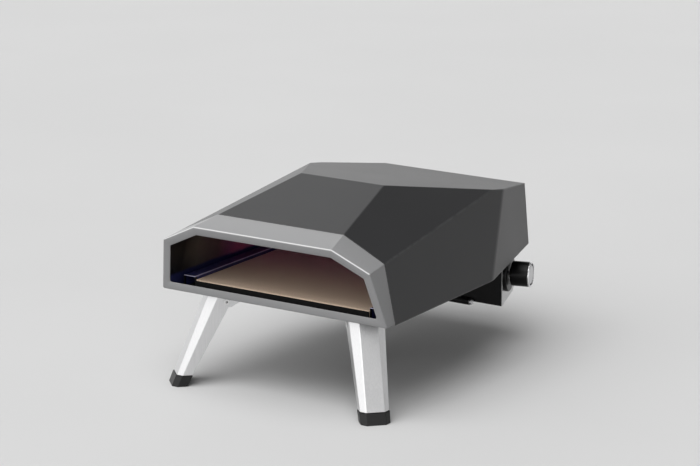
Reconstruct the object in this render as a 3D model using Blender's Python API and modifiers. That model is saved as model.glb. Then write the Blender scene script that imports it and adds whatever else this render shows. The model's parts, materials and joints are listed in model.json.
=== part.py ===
"""Portable gas pizza oven: faceted steel body on three folding legs.

Each sub-part is one closed object. Body pieces are modelled from the middle of the body's
front lower edge: X to the right, Y rearwards, Z up. Leg pieces are modelled from the middle
of their hinge pin, valve and knob pieces from the knob's axis at the control box's right end.
"""

import math
from dataclasses import dataclass

import bmesh
import bpy
from mathutils import Matrix, Vector

# Fits and sheet thicknesses
FIT = 0.0003
OVERRUN = 0.004
BODY_SHEET = 0.0012
FASCIA_SHEET = 0.002
LINER_SHEET = 0.001
BACK_SHEET = 0.0012
PAN_SHEET = 0.0012
TRAY_SHEET = 0.001
LEG_SHEET = 0.0012
BRACKET_SHEET = 0.0012
CONTROL_SHEET = 0.0012

# Faceted body, all planes given by one point and two angles
LEG_HEIGHT = 0.1457
BODY_LENGTH = 0.529
FRONT_HALF_WIDTH = 0.199
RIDGE_HEIGHT = 0.1562
RIDGE_SETBACK = 0.187
RIDGE_HALF_WIDTH = 0.0744
TAPER_SETBACK = 0.304
SIDE_TURN, SIDE_LEAN = math.radians(0.7), math.radians(12.2)
HIP_TURN, HIP_LEAN = math.radians(-12.5), math.radians(63.7)
TAPER_TURN, TAPER_LEAN = math.radians(16.1), math.radians(2.4)
FRONT_LEAN = math.radians(13.6)
BACK_LEAN = math.radians(9.3)
FRONT_ROOF_SLOPE = math.radians(12.0)
REAR_ROOF_SLOPE = math.radians(9.5)
SEAM_SETBACK = 0.0218
FACE_RING = 0.0128
JOGGLE_LENGTH = 0.009
FASCIA_EDGE = 0.0010
BACK_FLANGE = 0.011
PAN_FLANGE = 0.015

# Rear louvres
LOUVRE_LENGTH = 0.026
LOUVRE_HEIGHT = 0.004
LOUVRE_PITCH = 0.012
LOUVRE_ROWS = 4
LOUVRE_COLUMNS = 5
LOUVRE_GAP = 0.008
LOUVRE_BASE = 0.034

# Oven chamber
REAR_BAY = 0.109
BLANKET_THICKNESS = 0.0098
BLANKET_LIFT = 0.0165
STONE_THICKNESS = 0.010
STONE_LIFT = 0.004
STONE_SETBACK = 0.0226
BURNER_BAY = 0.087
TRAY_RIB = 0.010
TRAY_RIB_SHARES = (-0.7, 0.0, 0.7)
TRAY_LIP_DROP = 0.001
RAIL_WIDTH = 0.021
RAIL_PROUD = 0.005
RAIL_SHEET = 0.001
LINER_TO_RAIL = 0.0023

# Burner
BURNER_RADIUS = 0.011
BURNER_WALL = 0.0012
BURNER_STANDOFF = 0.035
BURNER_BELOW_ROOF = 0.0593
BURNER_END_GAP = 0.01901832
PORT_LENGTH = 0.009
PORT_HEIGHT = 0.0024
PORT_PITCH = 0.0165
PORT_COUNT = 13
PORT_RISE = math.radians(25)
CRADLE_WIDTH = 0.012
CRADLE_DEPTH = 0.009
CRADLE_INSET = 0.008
GUARD_SHEET = 0.001
GUARD_FLANGE = 0.014
GUARD_REACH = 0.048
GUARD_DROP = 0.008
GUARD_RISE = 0.010
GUARD_CLEARANCE = 0.012
VENTURI_RADIUS = 0.0075
VENTURI_BEND = 0.024
ELECTRODE_RADIUS = 0.0035
ELECTRODE_TIP_RADIUS = 0.0012
ELECTRODE_TIP = 0.012
PROBE_RADIUS = 0.0030
PROBE_SPACING = 0.0175
PROBE_TAIL = 0.022
LEAD_RADIUS = 0.0013

# Control box under the rear of the body
CONTROL_INSET = 0.0817
CONTROL_DEPTH = 0.0767
CONTROL_SIDE_INSET = 0.02763858
CONTROL_WIDTH = 0.118
CONTROL_FRONT_DROP = 0.085
CONTROL_REAR_DROP = 0.0776
CONTROL_CHAMFER = 0.0075
SLOT_MARGIN = 0.006
SLOT_DEPTH = 0.040

# Valve and knob
KNOB_DROP = 0.0363
KNOB_SETBACK = 0.0259
KNOB_RADIUS = 0.0198
KNOB_LENGTH = 0.0309
KNOB_RING_RADIUS = 0.0203
KNOB_RING_LENGTH = 0.0030
KNOB_RING_WALL = 0.0030
KNOB_CAP_THICKNESS = 0.0016
KNOB_CAP_SINK = 0.0006
KNOB_WALL = 0.003
KNOB_TRAVEL = 0.003
BEZEL_RADIUS = 0.0294
BEZEL_THICKNESS = 0.0064
BEZEL_EDGE = 0.0008
VALVE_LENGTH = 0.030
VALVE_DEPTH = 0.022
VALVE_HEIGHT = 0.030
NECK_RADIUS = 0.008
NECK_PROUD = 0.0015
VALVE_SETBACK = 0.012
PLUG_RADIUS = 0.0055
PLUG_FLOOR = 0.003
SPINDLE_RADIUS = 0.003
SPINDLE_GRIP = 0.012
SPINDLE_COLLAR_RADIUS = 0.0045
SPINDLE_COLLAR = 0.003
JET_RADIUS = 0.005
JET_LENGTH = 0.006
INLET_RADIUS = 0.006
INLET_TIP = 0.0012
INLET_NUT_RADIUS = 0.0095
INLET_NUT = 0.003
INLET_BELOW_VALVE_AXIS = 0.006

# Push igniter ahead of the control box
IGNITER_RADIUS = 0.0055
IGNITER_LENGTH = 0.040
IGNITER_INSET = 0.0555
IGNITER_DROP = 0.084
IGNITER_LUG = 0.005
BUTTON_RADIUS = 0.0046
BUTTON_PROUD = 0.0046
BUTTON_DEPTH = 0.009
BUTTON_TRAVEL = 0.003

# Legs
FRONT_TURN = math.radians(45)
FRONT_HINGE_SIDE_INSET = 0.0735
FRONT_HINGE_SETBACK = 0.0544
REAR_HINGE_SETBACK = 0.285
HINGE_DROP = 0.016
LEG_TOP_GAP = 0.007
PIN_RADIUS = 0.003
PIN_HEAD_RADIUS = 0.0048
PIN_HEAD = 0.0016
FOOT_HEIGHT = 0.0166
FOOT_SEAT = 0.0008
FOOT_PROUD = 0.0011
FOOT_PLUG = 0.012
BRACKET_INNER = 0.0285
BRACKET_BELOW_PIN = 0.009
BRACKET_TOE = 0.0085
BRACKET_HEEL = 0.0075
BRACKET_HEEL_DROP = 0.013
BRACKET_SIDE_GAP = 0.0017

# Screws and rivets
SCREW_HEAD_RADIUS = 0.0034
SCREW_HEAD = 0.002
SCREW_RADIUS = 0.0018
SCREW_LENGTH = 0.0065
SCREW_EDGE = 0.006

# Round pieces and the block that facets are cut from
ROUND = 32
SMALL_ROUND = 16
BLOCK_LENGTHS = 4
SMOOTH = math.radians(35)

# Places worked out from the sizes above
BODY_FRONT_REACH = (RIDGE_HEIGHT - math.tan(FRONT_ROOF_SLOPE) * RIDGE_SETBACK) * math.tan(FRONT_LEAN) / (
    1 + math.tan(FRONT_ROOF_SLOPE) * math.tan(FRONT_LEAN))
BODY_MIDDLE = (BODY_LENGTH - BODY_FRONT_REACH) / 2
LINER_INSET = FACE_RING - LINER_SHEET
CHAMBER_BACK = BODY_LENGTH - REAR_BAY
FLOOR = PAN_SHEET + FIT
STONE_BASE = FLOOR + STONE_LIFT - PAN_SHEET
STONE_TOP = STONE_BASE + STONE_THICKNESS
STONE_DEPTH = CHAMBER_BACK - BURNER_BAY - STONE_SETBACK
RAIL_TOP = STONE_TOP + RAIL_PROUD
CHAMBER_FLOOR_HALF = (FRONT_HALF_WIDTH - FACE_RING / math.cos(SIDE_LEAN)
                      - math.tan(SIDE_TURN) * TAPER_SETBACK - math.tan(SIDE_LEAN) * RAIL_TOP)
STONE_HALF = CHAMBER_FLOOR_HALF - LINER_TO_RAIL - RAIL_WIDTH - FIT
CHAMBER_ROOF = (RIDGE_HEIGHT - math.tan(REAR_ROOF_SLOPE) * (CHAMBER_BACK - RIDGE_SETBACK)
                - FACE_RING / math.cos(REAR_ROOF_SLOPE))
BURNER_RISE = CHAMBER_ROOF - BURNER_BELOW_ROOF
BURNER_Y = CHAMBER_BACK - BURNER_STANDOFF
BURNER_HALF = CHAMBER_FLOOR_HALF - math.tan(TAPER_TURN) * (CHAMBER_BACK - TAPER_SETBACK) - BURNER_END_GAP
CONTROL_TURN = TAPER_TURN
CONTROL_FRONT = BODY_LENGTH - CONTROL_INSET
CONTROL_REAR = CONTROL_FRONT + CONTROL_DEPTH
CONTROL_RIGHT = (FRONT_HALF_WIDTH - math.tan(TAPER_TURN) * (CONTROL_FRONT - TAPER_SETBACK)
                 - CONTROL_SIDE_INSET)
CONTROL_LEFT = CONTROL_RIGHT - CONTROL_WIDTH
KNOB_X = CONTROL_RIGHT - math.sin(CONTROL_TURN) * KNOB_SETBACK
KNOB_Y = CONTROL_FRONT + math.cos(CONTROL_TURN) * KNOB_SETBACK
VALVE_REACH = VALVE_SETBACK + VALVE_LENGTH / 2
VALVE_X = KNOB_X - math.cos(CONTROL_TURN) * VALVE_REACH
VALVE_Y = KNOB_Y - math.sin(CONTROL_TURN) * VALVE_REACH
HINGE_HEIGHT = LEG_HEIGHT - HINGE_DROP
IGNITER_END = CONTROL_RIGHT - IGNITER_INSET
ELECTRODE_X = IGNITER_END - IGNITER_LENGTH + 2 * IGNITER_LUG
PROBE_X = ELECTRODE_X + PROBE_SPACING


@dataclass(frozen=True)
class LegShape:
    """Sizes of one folded-sheet leg, measured level at the hinge and at the foot."""

    web: float
    hinge_chamfer: float
    foot_chamfer: float
    hinge_flange: float
    foot_flange: float
    pin_to_web: float
    lean: float
    bracket_outer: float


FRONT_LEG = LegShape(web=0.0280, hinge_chamfer=0.0175, foot_chamfer=0.0108, hinge_flange=0.0250,
                     foot_flange=0.0150, pin_to_web=0.0300, lean=math.radians(21.9), bracket_outer=0.0150)
REAR_LEG = LegShape(web=0.0150, hinge_chamfer=0.0110, foot_chamfer=0.0075, hinge_flange=0.0200,
                    foot_flange=0.0140, pin_to_web=0.0205, lean=0.0, bracket_outer=0.0105)


def make_collection(name, parent):
    """A new collection linked under another."""
    collection = bpy.data.collections.new(name)
    parent.children.link(collection)
    return collection


def clear_scene():
    """Remove every object that the file starts with."""
    for thing in list(bpy.data.objects):
        bpy.data.objects.remove(thing, do_unlink=True)


def make_material(name, colour, roughness, metallic):
    """A Principled material of one finish."""
    material = bpy.data.materials.new(name)
    material.use_nodes = True
    shader = material.node_tree.nodes["Principled BSDF"]
    shader.inputs["Base Color"].default_value = (*colour, 1.0)
    shader.inputs["Roughness"].default_value = roughness
    shader.inputs["Metallic"].default_value = metallic
    material.diffuse_color = (*colour, 1.0)
    return material


def make_empty(name, place, turn=(0.0, 0.0, 0.0), parent=None):
    """An empty that carries other objects."""
    empty = bpy.data.objects.new(name, None)
    empty.location = place
    empty.rotation_euler = turn
    empty.parent = parent
    OVEN.objects.link(empty)
    return empty


def add_object(name, mesh, material=None, parent=None, turn=(0.0, 0.0, 0.0), place=(0.0, 0.0, 0.0)):
    """A mesh object: a sub-part if it has a material, and otherwise a cutter."""
    thing = bpy.data.objects.new(name, mesh)
    thing.location = place
    thing.rotation_euler = turn
    thing.parent = parent
    if material is None:
        thing.hide_render = True
        thing.display_type = "WIRE"
        CUTTERS.objects.link(thing)
    else:
        mesh.materials.append(material)
        OVEN.objects.link(thing)
    return thing


def boolean(target, tool, operation):
    """Cut or join one object with another."""
    modifier = target.modifiers.new(operation.lower() + " " + tool.name, "BOOLEAN")
    modifier.object = tool
    modifier.operation = operation
    modifier.solver = "EXACT"
    return modifier


def cut(target, tool):
    """Take the tool's solid away from the target."""
    return boolean(target, tool, "DIFFERENCE")


def join(target, tool):
    """Add the tool's solid to the target."""
    return boolean(target, tool, "UNION")


def mesh_from(form, name):
    """Write a bmesh to a new mesh, with its faces pointing out."""
    bmesh.ops.recalc_face_normals(form, faces=form.faces)
    mesh = bpy.data.meshes.new(name)
    form.to_mesh(mesh)
    form.free()
    return mesh


def block_mesh(name, low, high):
    """A box between two corners."""
    low, high = Vector(low), Vector(high)
    form = bmesh.new()
    size = Matrix.Diagonal((*(high - low), 1.0))
    bmesh.ops.create_cube(form, size=1.0, matrix=Matrix.Translation((low + high) / 2) @ size)
    return mesh_from(form, name)


def rod_mesh(name, start, end, radius, sides=ROUND):
    """A round bar between two points."""
    start, end = Vector(start), Vector(end)
    along = end - start
    form = bmesh.new()
    turn = along.to_track_quat("Z", "Y").to_matrix().to_4x4()
    bmesh.ops.create_cone(form, cap_ends=True, segments=sides, radius1=radius, radius2=radius,
                          depth=along.length, matrix=Matrix.Translation((start + end) / 2) @ turn)
    mesh = mesh_from(form, name)
    mesh.shade_smooth()
    mesh.set_sharp_from_angle(angle=SMOOTH)
    return mesh


def plate_mesh(name, outline, low, high, axis):
    """A flat outline carried straight along one axis, from low to high."""
    others = [index for index in range(3) if index != axis]
    form = bmesh.new()
    ring = []
    for first, second in outline:
        place = [0.0, 0.0, 0.0]
        place[others[0]], place[others[1]], place[axis] = first, second, low
        ring.append(form.verts.new(place))
    face = form.faces.new(ring)
    grown = bmesh.ops.extrude_face_region(form, geom=[face])
    moved = [part for part in grown["geom"] if isinstance(part, bmesh.types.BMVert)]
    step = Vector((0.0, 0.0, 0.0))
    step[axis] = high - low
    bmesh.ops.translate(form, verts=moved, vec=step)
    return mesh_from(form, name)


def turned(name, profile, material, parent, place=(0.0, 0.0, 0.0), turn=(0.0, 0.0, 0.0), closed=False,
           sides=ROUND):
    """A turned piece about its own Z, from profile points (radius, height) that run down the outer side."""
    form = bmesh.new()
    points = [form.verts.new((radius, 0.0, height)) for radius, height in profile]
    for first, second in zip(points, points[1:]):
        form.edges.new((first, second))
    if closed:
        form.edges.new((points[-1], points[0]))
    mesh = bpy.data.meshes.new(name)
    form.to_mesh(mesh)
    form.free()
    thing = add_object(name, mesh, material, parent, turn, place)
    screw = thing.modifiers.new("turn", "SCREW")
    screw.axis = "Z"
    screw.steps = sides
    screw.render_steps = sides
    screw.use_merge_vertices = True
    screw.merge_threshold = FIT / 10
    screw.use_smooth_shade = False
    return thing


def facet_normal(turn, lean):
    """The outward direction of a facet: turn from +X towards +Y, lean up from level."""
    return Vector((math.cos(lean) * math.cos(turn), math.cos(lean) * math.sin(turn), math.sin(lean)))


def body_facets(inset, front=None, back=None, bottom=0.0, seam=None, rear_wall=None):
    """The body's planes, moved inwards by inset: each a point and its outward direction.

    front and back are the insets of the leaning front and back planes, or None to leave the
    body open there. seam and rear_wall are upright planes that start or end a piece instead.
    """
    side_point = Vector((FRONT_HALF_WIDTH, 0.0, 0.0))
    side = facet_normal(SIDE_TURN, SIDE_LEAN)
    taper_x = (side.dot(side_point) - side.y * TAPER_SETBACK) / side.x
    ridge = Vector((RIDGE_HALF_WIDTH, RIDGE_SETBACK, RIDGE_HEIGHT))
    right = [
        (side_point, side),
        (ridge, facet_normal(HIP_TURN, HIP_LEAN)),
        (Vector((taper_x, TAPER_SETBACK, 0.0)), facet_normal(TAPER_TURN, TAPER_LEAN)),
    ]
    quarter = math.pi / 2
    planes = []
    for point, normal in right:
        moved = point - normal * inset
        planes.append((moved, normal))
        planes.append((Vector((-moved.x, moved.y, moved.z)), Vector((-normal.x, normal.y, normal.z))))
    for normal in (facet_normal(-quarter, quarter - FRONT_ROOF_SLOPE),
                   facet_normal(quarter, quarter - REAR_ROOF_SLOPE)):
        planes.append((ridge - normal * inset, normal))
    if front is not None:
        normal = facet_normal(-quarter, -FRONT_LEAN)
        planes.append((-normal * front, normal))
    if back is not None:
        normal = facet_normal(quarter, BACK_LEAN)
        planes.append((Vector((0.0, BODY_LENGTH, 0.0)) - normal * back, normal))
    if seam is not None:
        planes.append((Vector((0.0, seam, 0.0)), Vector((0.0, -1.0, 0.0))))
    if rear_wall is not None:
        planes.append((Vector((0.0, rear_wall, 0.0)), Vector((0.0, 1.0, 0.0))))
    planes.append((Vector((0.0, 0.0, bottom)), Vector((0.0, 0.0, -1.0))))
    return planes


def clipped_mesh(name, planes):
    """A large block cut back by each plane in turn, and closed again."""
    form = bmesh.new()
    bmesh.ops.create_cube(form, size=BLOCK_LENGTHS * BODY_LENGTH)
    for point, normal in planes:
        parts = form.verts[:] + form.edges[:] + form.faces[:]
        result = bmesh.ops.bisect_plane(form, geom=parts, plane_co=point, plane_no=normal, clear_outer=True)
        rim = [part for part in result["geom_cut"] if isinstance(part, bmesh.types.BMEdge)]
        if rim:
            bmesh.ops.contextual_create(form, geom=rim)
    return mesh_from(form, name)


def add_body_block(name, planes, parent, material=None):
    """A facetted solid as an object: a sub-part or a cutter."""
    return add_object(name, clipped_mesh(name, planes), material, parent)


def build_fascia(parent):
    """Silver front: a face ring with a band round it and a joggle that tucks under the shell."""
    outer = body_facets(0.0, front=0.0, rear_wall=SEAM_SETBACK)
    fascia = add_body_block("front_fascia", outer, parent, SILVER)
    edge = fascia.modifiers.new("pressed edges", "BEVEL")
    edge.width = FASCIA_EDGE
    edge.segments = 2
    edge.limit_method = "ANGLE"
    edge.angle_limit = math.radians(15)
    inner = body_facets(FASCIA_SHEET, front=FASCIA_SHEET, bottom=PAN_SHEET,
                        rear_wall=SEAM_SETBACK + OVERRUN)
    cut(fascia, add_body_block("cut fascia inside", inner, parent))
    mouth = body_facets(FACE_RING, bottom=FACE_RING, seam=-BODY_LENGTH, rear_wall=SEAM_SETBACK)
    cut(fascia, add_body_block("cut fascia mouth", mouth, parent))
    under = BODY_SHEET + FIT
    joggle = add_body_block("joggle", body_facets(
        under, bottom=PAN_FLANGE + 2 * FIT, seam=SEAM_SETBACK - JOGGLE_LENGTH,
        rear_wall=SEAM_SETBACK + JOGGLE_LENGTH), parent)
    cut(joggle, add_body_block("cut joggle inside", body_facets(
        under + BODY_SHEET, bottom=-OVERRUN, seam=-BODY_LENGTH, rear_wall=BODY_LENGTH), parent))
    join(fascia, joggle)


def build_shell(parent):
    """Dark shell: roof, hips, sides and tapered sides folded from one sheet, with a rear flange."""
    start = SEAM_SETBACK + FIT
    outer = body_facets(0.0, back=BACK_SHEET + FIT, seam=start)
    shell = add_body_block("outer_shell", outer, parent, GRAPHITE)
    inner = body_facets(BODY_SHEET, back=BACK_SHEET + FIT + BODY_SHEET, bottom=-OVERRUN,
                        seam=start - OVERRUN)
    cut(shell, add_body_block("cut shell inside", inner, parent))
    window = body_facets(BACK_FLANGE, bottom=-OVERRUN, seam=TAPER_SETBACK, rear_wall=BODY_LENGTH + OVERRUN)
    cut(shell, add_body_block("cut shell rear window", window, parent))
    for index, place in enumerate(back_screw_places()):
        cut(shell, screw_hole("cut shell screw hole {}".format(index), place, parent))


def build_back_panel(parent):
    """Flat back panel with rows of louvres, screwed to the shell's rear flange."""
    panel = add_body_block("rear_panel", body_facets(0.0, back=0.0, seam=TAPER_SETBACK), parent, GRAPHITE)
    inner = body_facets(-OVERRUN, back=BACK_SHEET, bottom=-OVERRUN, seam=TAPER_SETBACK - OVERRUN)
    cut(panel, add_body_block("cut panel front", inner, parent))
    pitch = LOUVRE_LENGTH + LOUVRE_GAP
    for row in range(LOUVRE_ROWS):
        for column in range(LOUVRE_COLUMNS):
            middle = (column - (LOUVRE_COLUMNS - 1) / 2) * pitch
            base = LOUVRE_BASE + row * LOUVRE_PITCH
            low = (middle - LOUVRE_LENGTH / 2, CONTROL_FRONT, base)
            high = (middle + LOUVRE_LENGTH / 2, BODY_LENGTH + OVERRUN, base + LOUVRE_HEIGHT)
            name = "cut louvre {} {}".format(row, column)
            cut(panel, add_object(name, block_mesh(name, low, high), None, parent))
    for index, place in enumerate(back_screw_places()):
        cut(panel, screw_hole("cut panel screw hole {}".format(index), place, parent))


def back_width(height, inset):
    """Half width of the body's back plane at a height, moved inwards."""
    taper = facet_normal(TAPER_TURN, TAPER_LEAN)
    side = facet_normal(SIDE_TURN, SIDE_LEAN)
    start = (side.x * FRONT_HALF_WIDTH - side.y * TAPER_SETBACK) / side.x
    setback = BODY_LENGTH - math.tan(BACK_LEAN) * height
    reach = taper.x * start + taper.y * TAPER_SETBACK - inset
    return (reach - taper.y * setback - taper.z * height) / taper.x


def back_screw_places():
    """Middle of each back panel screw, on the outer face of the panel."""
    top = RIDGE_HEIGHT - math.tan(REAR_ROOF_SLOPE) * (BODY_LENGTH - RIDGE_SETBACK)
    places = []
    for side in (-1, 1):
        for height in (PAN_FLANGE + SCREW_EDGE, top - 2 * SCREW_EDGE):
            across = back_width(height, SCREW_EDGE + BODY_SHEET)
            places.append(Vector((side * across, BODY_LENGTH - math.tan(BACK_LEAN) * height, height)))
    return places


def screw_hole(name, place, parent):
    """A clearance hole for one back panel screw, square to the panel."""
    way = facet_normal(math.pi / 2, BACK_LEAN)
    mesh = rod_mesh(name, place + way * OVERRUN, place - way * (SCREW_LENGTH + OVERRUN),
                    SCREW_RADIUS + FIT, SMALL_ROUND)
    return add_object(name, mesh, None, parent)


def build_back_screws(parent):
    """Pan-head screws of the back panel."""
    for index, place in enumerate(back_screw_places()):
        add_screw("back_screw_{}".format(index + 1), place, facet_normal(math.pi / 2, BACK_LEAN), parent)


def add_screw(name, place, way, parent, length=SCREW_LENGTH):
    """A pan-head screw whose head sits just off the face at place and points along way."""
    turn = way.to_track_quat("Z", "Y").to_euler()
    head = SCREW_HEAD_RADIUS
    profile = [(0.0, SCREW_HEAD), (head / 2, SCREW_HEAD), (head, SCREW_HEAD / 2), (head, 0.0),
               (SCREW_RADIUS, 0.0), (SCREW_RADIUS, -length), (0.0, -length)]
    return turned(name, profile, STEEL, parent, place + way * FIT, turn, sides=SMALL_ROUND)


def build_pan(parent):
    """Base pan: floor sheet with an upturned flange inside the shell, and a slot over the control box."""
    inset = BODY_SHEET + FIT
    back = BACK_SHEET + BODY_SHEET + 2 * FIT
    outer = body_facets(inset, back=back, seam=SEAM_SETBACK + FIT)
    pan = add_body_block("base_pan", outer, parent, DARK_STEEL)
    lid = [(Vector((0.0, 0.0, PAN_FLANGE)), Vector((0.0, 0.0, -1.0)))]
    cut(pan, add_body_block("cut pan top", lid, parent))
    inside = body_facets(inset + PAN_SHEET, back=back + PAN_SHEET, bottom=PAN_SHEET, seam=-BODY_LENGTH)
    cut(pan, add_body_block("cut pan inside", inside, parent))
    low = (CONTROL_LEFT + SLOT_MARGIN, CONTROL_FRONT + CONTROL_SHEET, -OVERRUN)
    right = CONTROL_RIGHT - math.tan(CONTROL_TURN) * SLOT_DEPTH - SLOT_MARGIN
    slot = block_mesh("cut pan slot", low, (right, low[1] + SLOT_DEPTH, PAN_FLANGE))
    cut(pan, add_object("cut pan slot", slot, None, parent))
    for name, place in bracket_rivet_places():
        hole = rod_mesh("cut pan " + name, place + Vector((0.0, 0.0, OVERRUN)),
                        place - Vector((0.0, 0.0, OVERRUN)), SCREW_RADIUS + FIT, SMALL_ROUND)
        cut(pan, add_object("cut pan " + name, hole, None, parent))


def build_liner(parent):
    """Oven chamber: walls, roof and rear wall of heat-darkened steel, open at the mouth."""
    front = FASCIA_SHEET + FIT
    outer = body_facets(LINER_INSET, front=front, bottom=FLOOR, rear_wall=CHAMBER_BACK + LINER_SHEET)
    liner = add_body_block("oven_liner", outer, parent, HEAT_STEEL)
    inner = body_facets(FACE_RING, bottom=-OVERRUN, seam=-BODY_LENGTH, rear_wall=CHAMBER_BACK)
    cut(liner, add_body_block("cut liner inside", inner, parent))
    rise = BURNER_RISE
    holes = [("venturi", VALVE_X, VENTURI_RADIUS), ("electrode", ELECTRODE_X, ELECTRODE_RADIUS),
             ("probe", PROBE_X, PROBE_RADIUS)]
    for name, across, radius in holes:
        hole = rod_mesh("cut liner " + name, (across, CHAMBER_BACK - OVERRUN, rise),
                        (across, CHAMBER_BACK + OVERRUN, rise), radius + FIT)
        cut(liner, add_object("cut liner " + name, hole, None, parent))


def build_blanket(parent):
    """Ceramic fibre blanket between the shell and the chamber."""
    start = SEAM_SETBACK + JOGGLE_LENGTH + FIT
    outset = BODY_SHEET + FIT
    outer = body_facets(outset, bottom=BLANKET_LIFT, seam=start, rear_wall=CHAMBER_BACK)
    blanket = add_body_block("insulation_blanket", outer, parent, FIBRE)
    depth = min(BLANKET_THICKNESS, LINER_INSET - FIT - outset)
    inner = body_facets(outset + depth, bottom=-OVERRUN, seam=-BODY_LENGTH, rear_wall=BODY_LENGTH)
    cut(blanket, add_body_block("cut blanket inside", inner, parent))


def build_stone(parent):
    """Square cordierite stone, lying loose on its tray."""
    end = STONE_SETBACK + STONE_DEPTH
    mesh = block_mesh("pizza_stone", (-STONE_HALF, STONE_SETBACK, STONE_BASE), (STONE_HALF, end, STONE_TOP))
    stone = add_object("pizza_stone", mesh, CORDIERITE, parent)
    edge = stone.modifiers.new("eased edges", "BEVEL")
    edge.width = STONE_THICKNESS / 10
    edge.segments = 1


def build_tray(parent):
    """Stone tray: a sheet with three ribs under the stone and a lip turned up in front of it."""
    top = FLOOR + TRAY_SHEET
    end = STONE_SETBACK + STONE_DEPTH
    front = STONE_SETBACK - FIT - TRAY_SHEET
    mesh = block_mesh("stone_tray", (-STONE_HALF, front - FIT, FLOOR), (STONE_HALF, end, top))
    tray = add_object("stone_tray", mesh, DARK_STEEL, parent)
    for index, share in enumerate(TRAY_RIB_SHARES):
        middle = share * STONE_HALF
        name = "tray rib {}".format(index)
        rib = block_mesh(name, (middle - TRAY_RIB / 2, STONE_SETBACK, top - TRAY_SHEET / 2),
                         (middle + TRAY_RIB / 2, end - TRAY_RIB, STONE_BASE - FIT))
        join(tray, add_object(name, rib, None, parent))
    reach = STONE_HALF - FIT
    lip = block_mesh("tray lip", (-reach, front, top - TRAY_SHEET / 2),
                     (reach, front + TRAY_SHEET, STONE_TOP - TRAY_LIP_DROP))
    join(tray, add_object("tray lip", lip, None, parent))


def build_rails(parent):
    """Heat-tinted rail along each side of the stone, as far as the straight part of the chamber."""
    end = TAPER_SETBACK - RAIL_PROUD
    for side, label in ((-1, "left"), (1, "right")):
        inner = STONE_HALF + FIT
        outer = inner + RAIL_WIDTH
        low, high = sorted((side * inner, side * outer))
        name = label + "_stone_rail"
        rail = add_object(name, block_mesh(name, (low, STONE_SETBACK, FLOOR), (high, end, RAIL_TOP)),
                          HEAT_STEEL, parent)
        hollow = block_mesh("cut " + name, (low + RAIL_SHEET, STONE_SETBACK - OVERRUN, -OVERRUN),
                            (high - RAIL_SHEET, end + OVERRUN, RAIL_TOP - RAIL_SHEET))
        cut(rail, add_object("cut " + name, hollow, None, parent))


def build_burner(parent):
    """Tube burner across the back of the chamber, its two cradles and the sheet guard above it."""
    left = Vector((-BURNER_HALF, BURNER_Y, BURNER_RISE))
    right = Vector((BURNER_HALF, BURNER_Y, BURNER_RISE))
    tube = rod_mesh("burner_tube", left, right, BURNER_RADIUS)
    burner = add_object("burner_tube", tube, STAINLESS, parent)
    along = Vector((BURNER_WALL, 0.0, 0.0))
    bore = rod_mesh("cut burner bore", left + along, right - along, BURNER_RADIUS - BURNER_WALL)
    cut(burner, add_object("cut burner bore", bore, None, parent))
    way = Vector((0.0, -math.cos(PORT_RISE), math.sin(PORT_RISE)))
    turn = (math.pi / 2 - PORT_RISE, 0.0, 0.0)
    for index in range(PORT_COUNT):
        across = (index - (PORT_COUNT - 1) / 2) * PORT_PITCH
        name = "cut burner port {}".format(index)
        half = Vector((PORT_LENGTH / 2, PORT_HEIGHT / 2, BURNER_RADIUS / 2))
        port = add_object(name, block_mesh(name, -half, half), None, parent, turn,
                          Vector((across, BURNER_Y, BURNER_RISE)) + way * BURNER_RADIUS)
        cut(burner, port)
    for side, label in ((-1, "left"), (1, "right")):
        middle = side * (BURNER_HALF - CRADLE_INSET)
        name = "burner_cradle_" + label
        low = (middle - CRADLE_WIDTH / 2, BURNER_Y - CRADLE_DEPTH, FLOOR)
        high = (middle + CRADLE_WIDTH / 2, CHAMBER_BACK - FIT, BURNER_RISE)
        cradle = add_object(name, block_mesh(name, low, high), DARK_STEEL, parent)
        saddle = rod_mesh("cut " + name, left, right, BURNER_RADIUS + FIT)
        cut(cradle, add_object("cut " + name, saddle, None, parent))
        low = (middle - CRADLE_WIDTH, BURNER_Y, FLOOR + BURNER_RADIUS)
        high = (middle + CRADLE_WIDTH, CHAMBER_BACK - CRADLE_DEPTH, BURNER_RISE - BURNER_RADIUS)
        relief = block_mesh("cut relief " + name, low, high)
        cut(cradle, add_object("cut relief " + name, relief, None, parent))


def build_guard(parent):
    """Bent sheet over the burner that turns the flame forward, hung on the chamber's rear wall."""
    wall = CHAMBER_BACK - FIT
    base = BURNER_RISE + BURNER_RADIUS + GUARD_CLEARANCE
    outer = [(wall, base), (wall, base + GUARD_FLANGE),
             (wall - GUARD_REACH, base + GUARD_FLANGE + GUARD_RISE),
             (wall - GUARD_REACH - GUARD_DROP, base + GUARD_FLANGE)]
    sheet = GUARD_SHEET
    inner = [(wall - GUARD_REACH - GUARD_DROP + sheet, base + GUARD_FLANGE),
             (wall - GUARD_REACH + sheet / 2, base + GUARD_FLANGE + GUARD_RISE - sheet),
             (wall - sheet, base + GUARD_FLANGE - sheet), (wall - sheet, base)]
    half = BURNER_HALF
    mesh = plate_mesh("flame_guard", outer + inner, -half, half, 0)
    add_object("flame_guard", mesh, HEAT_STEEL, parent)


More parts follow.
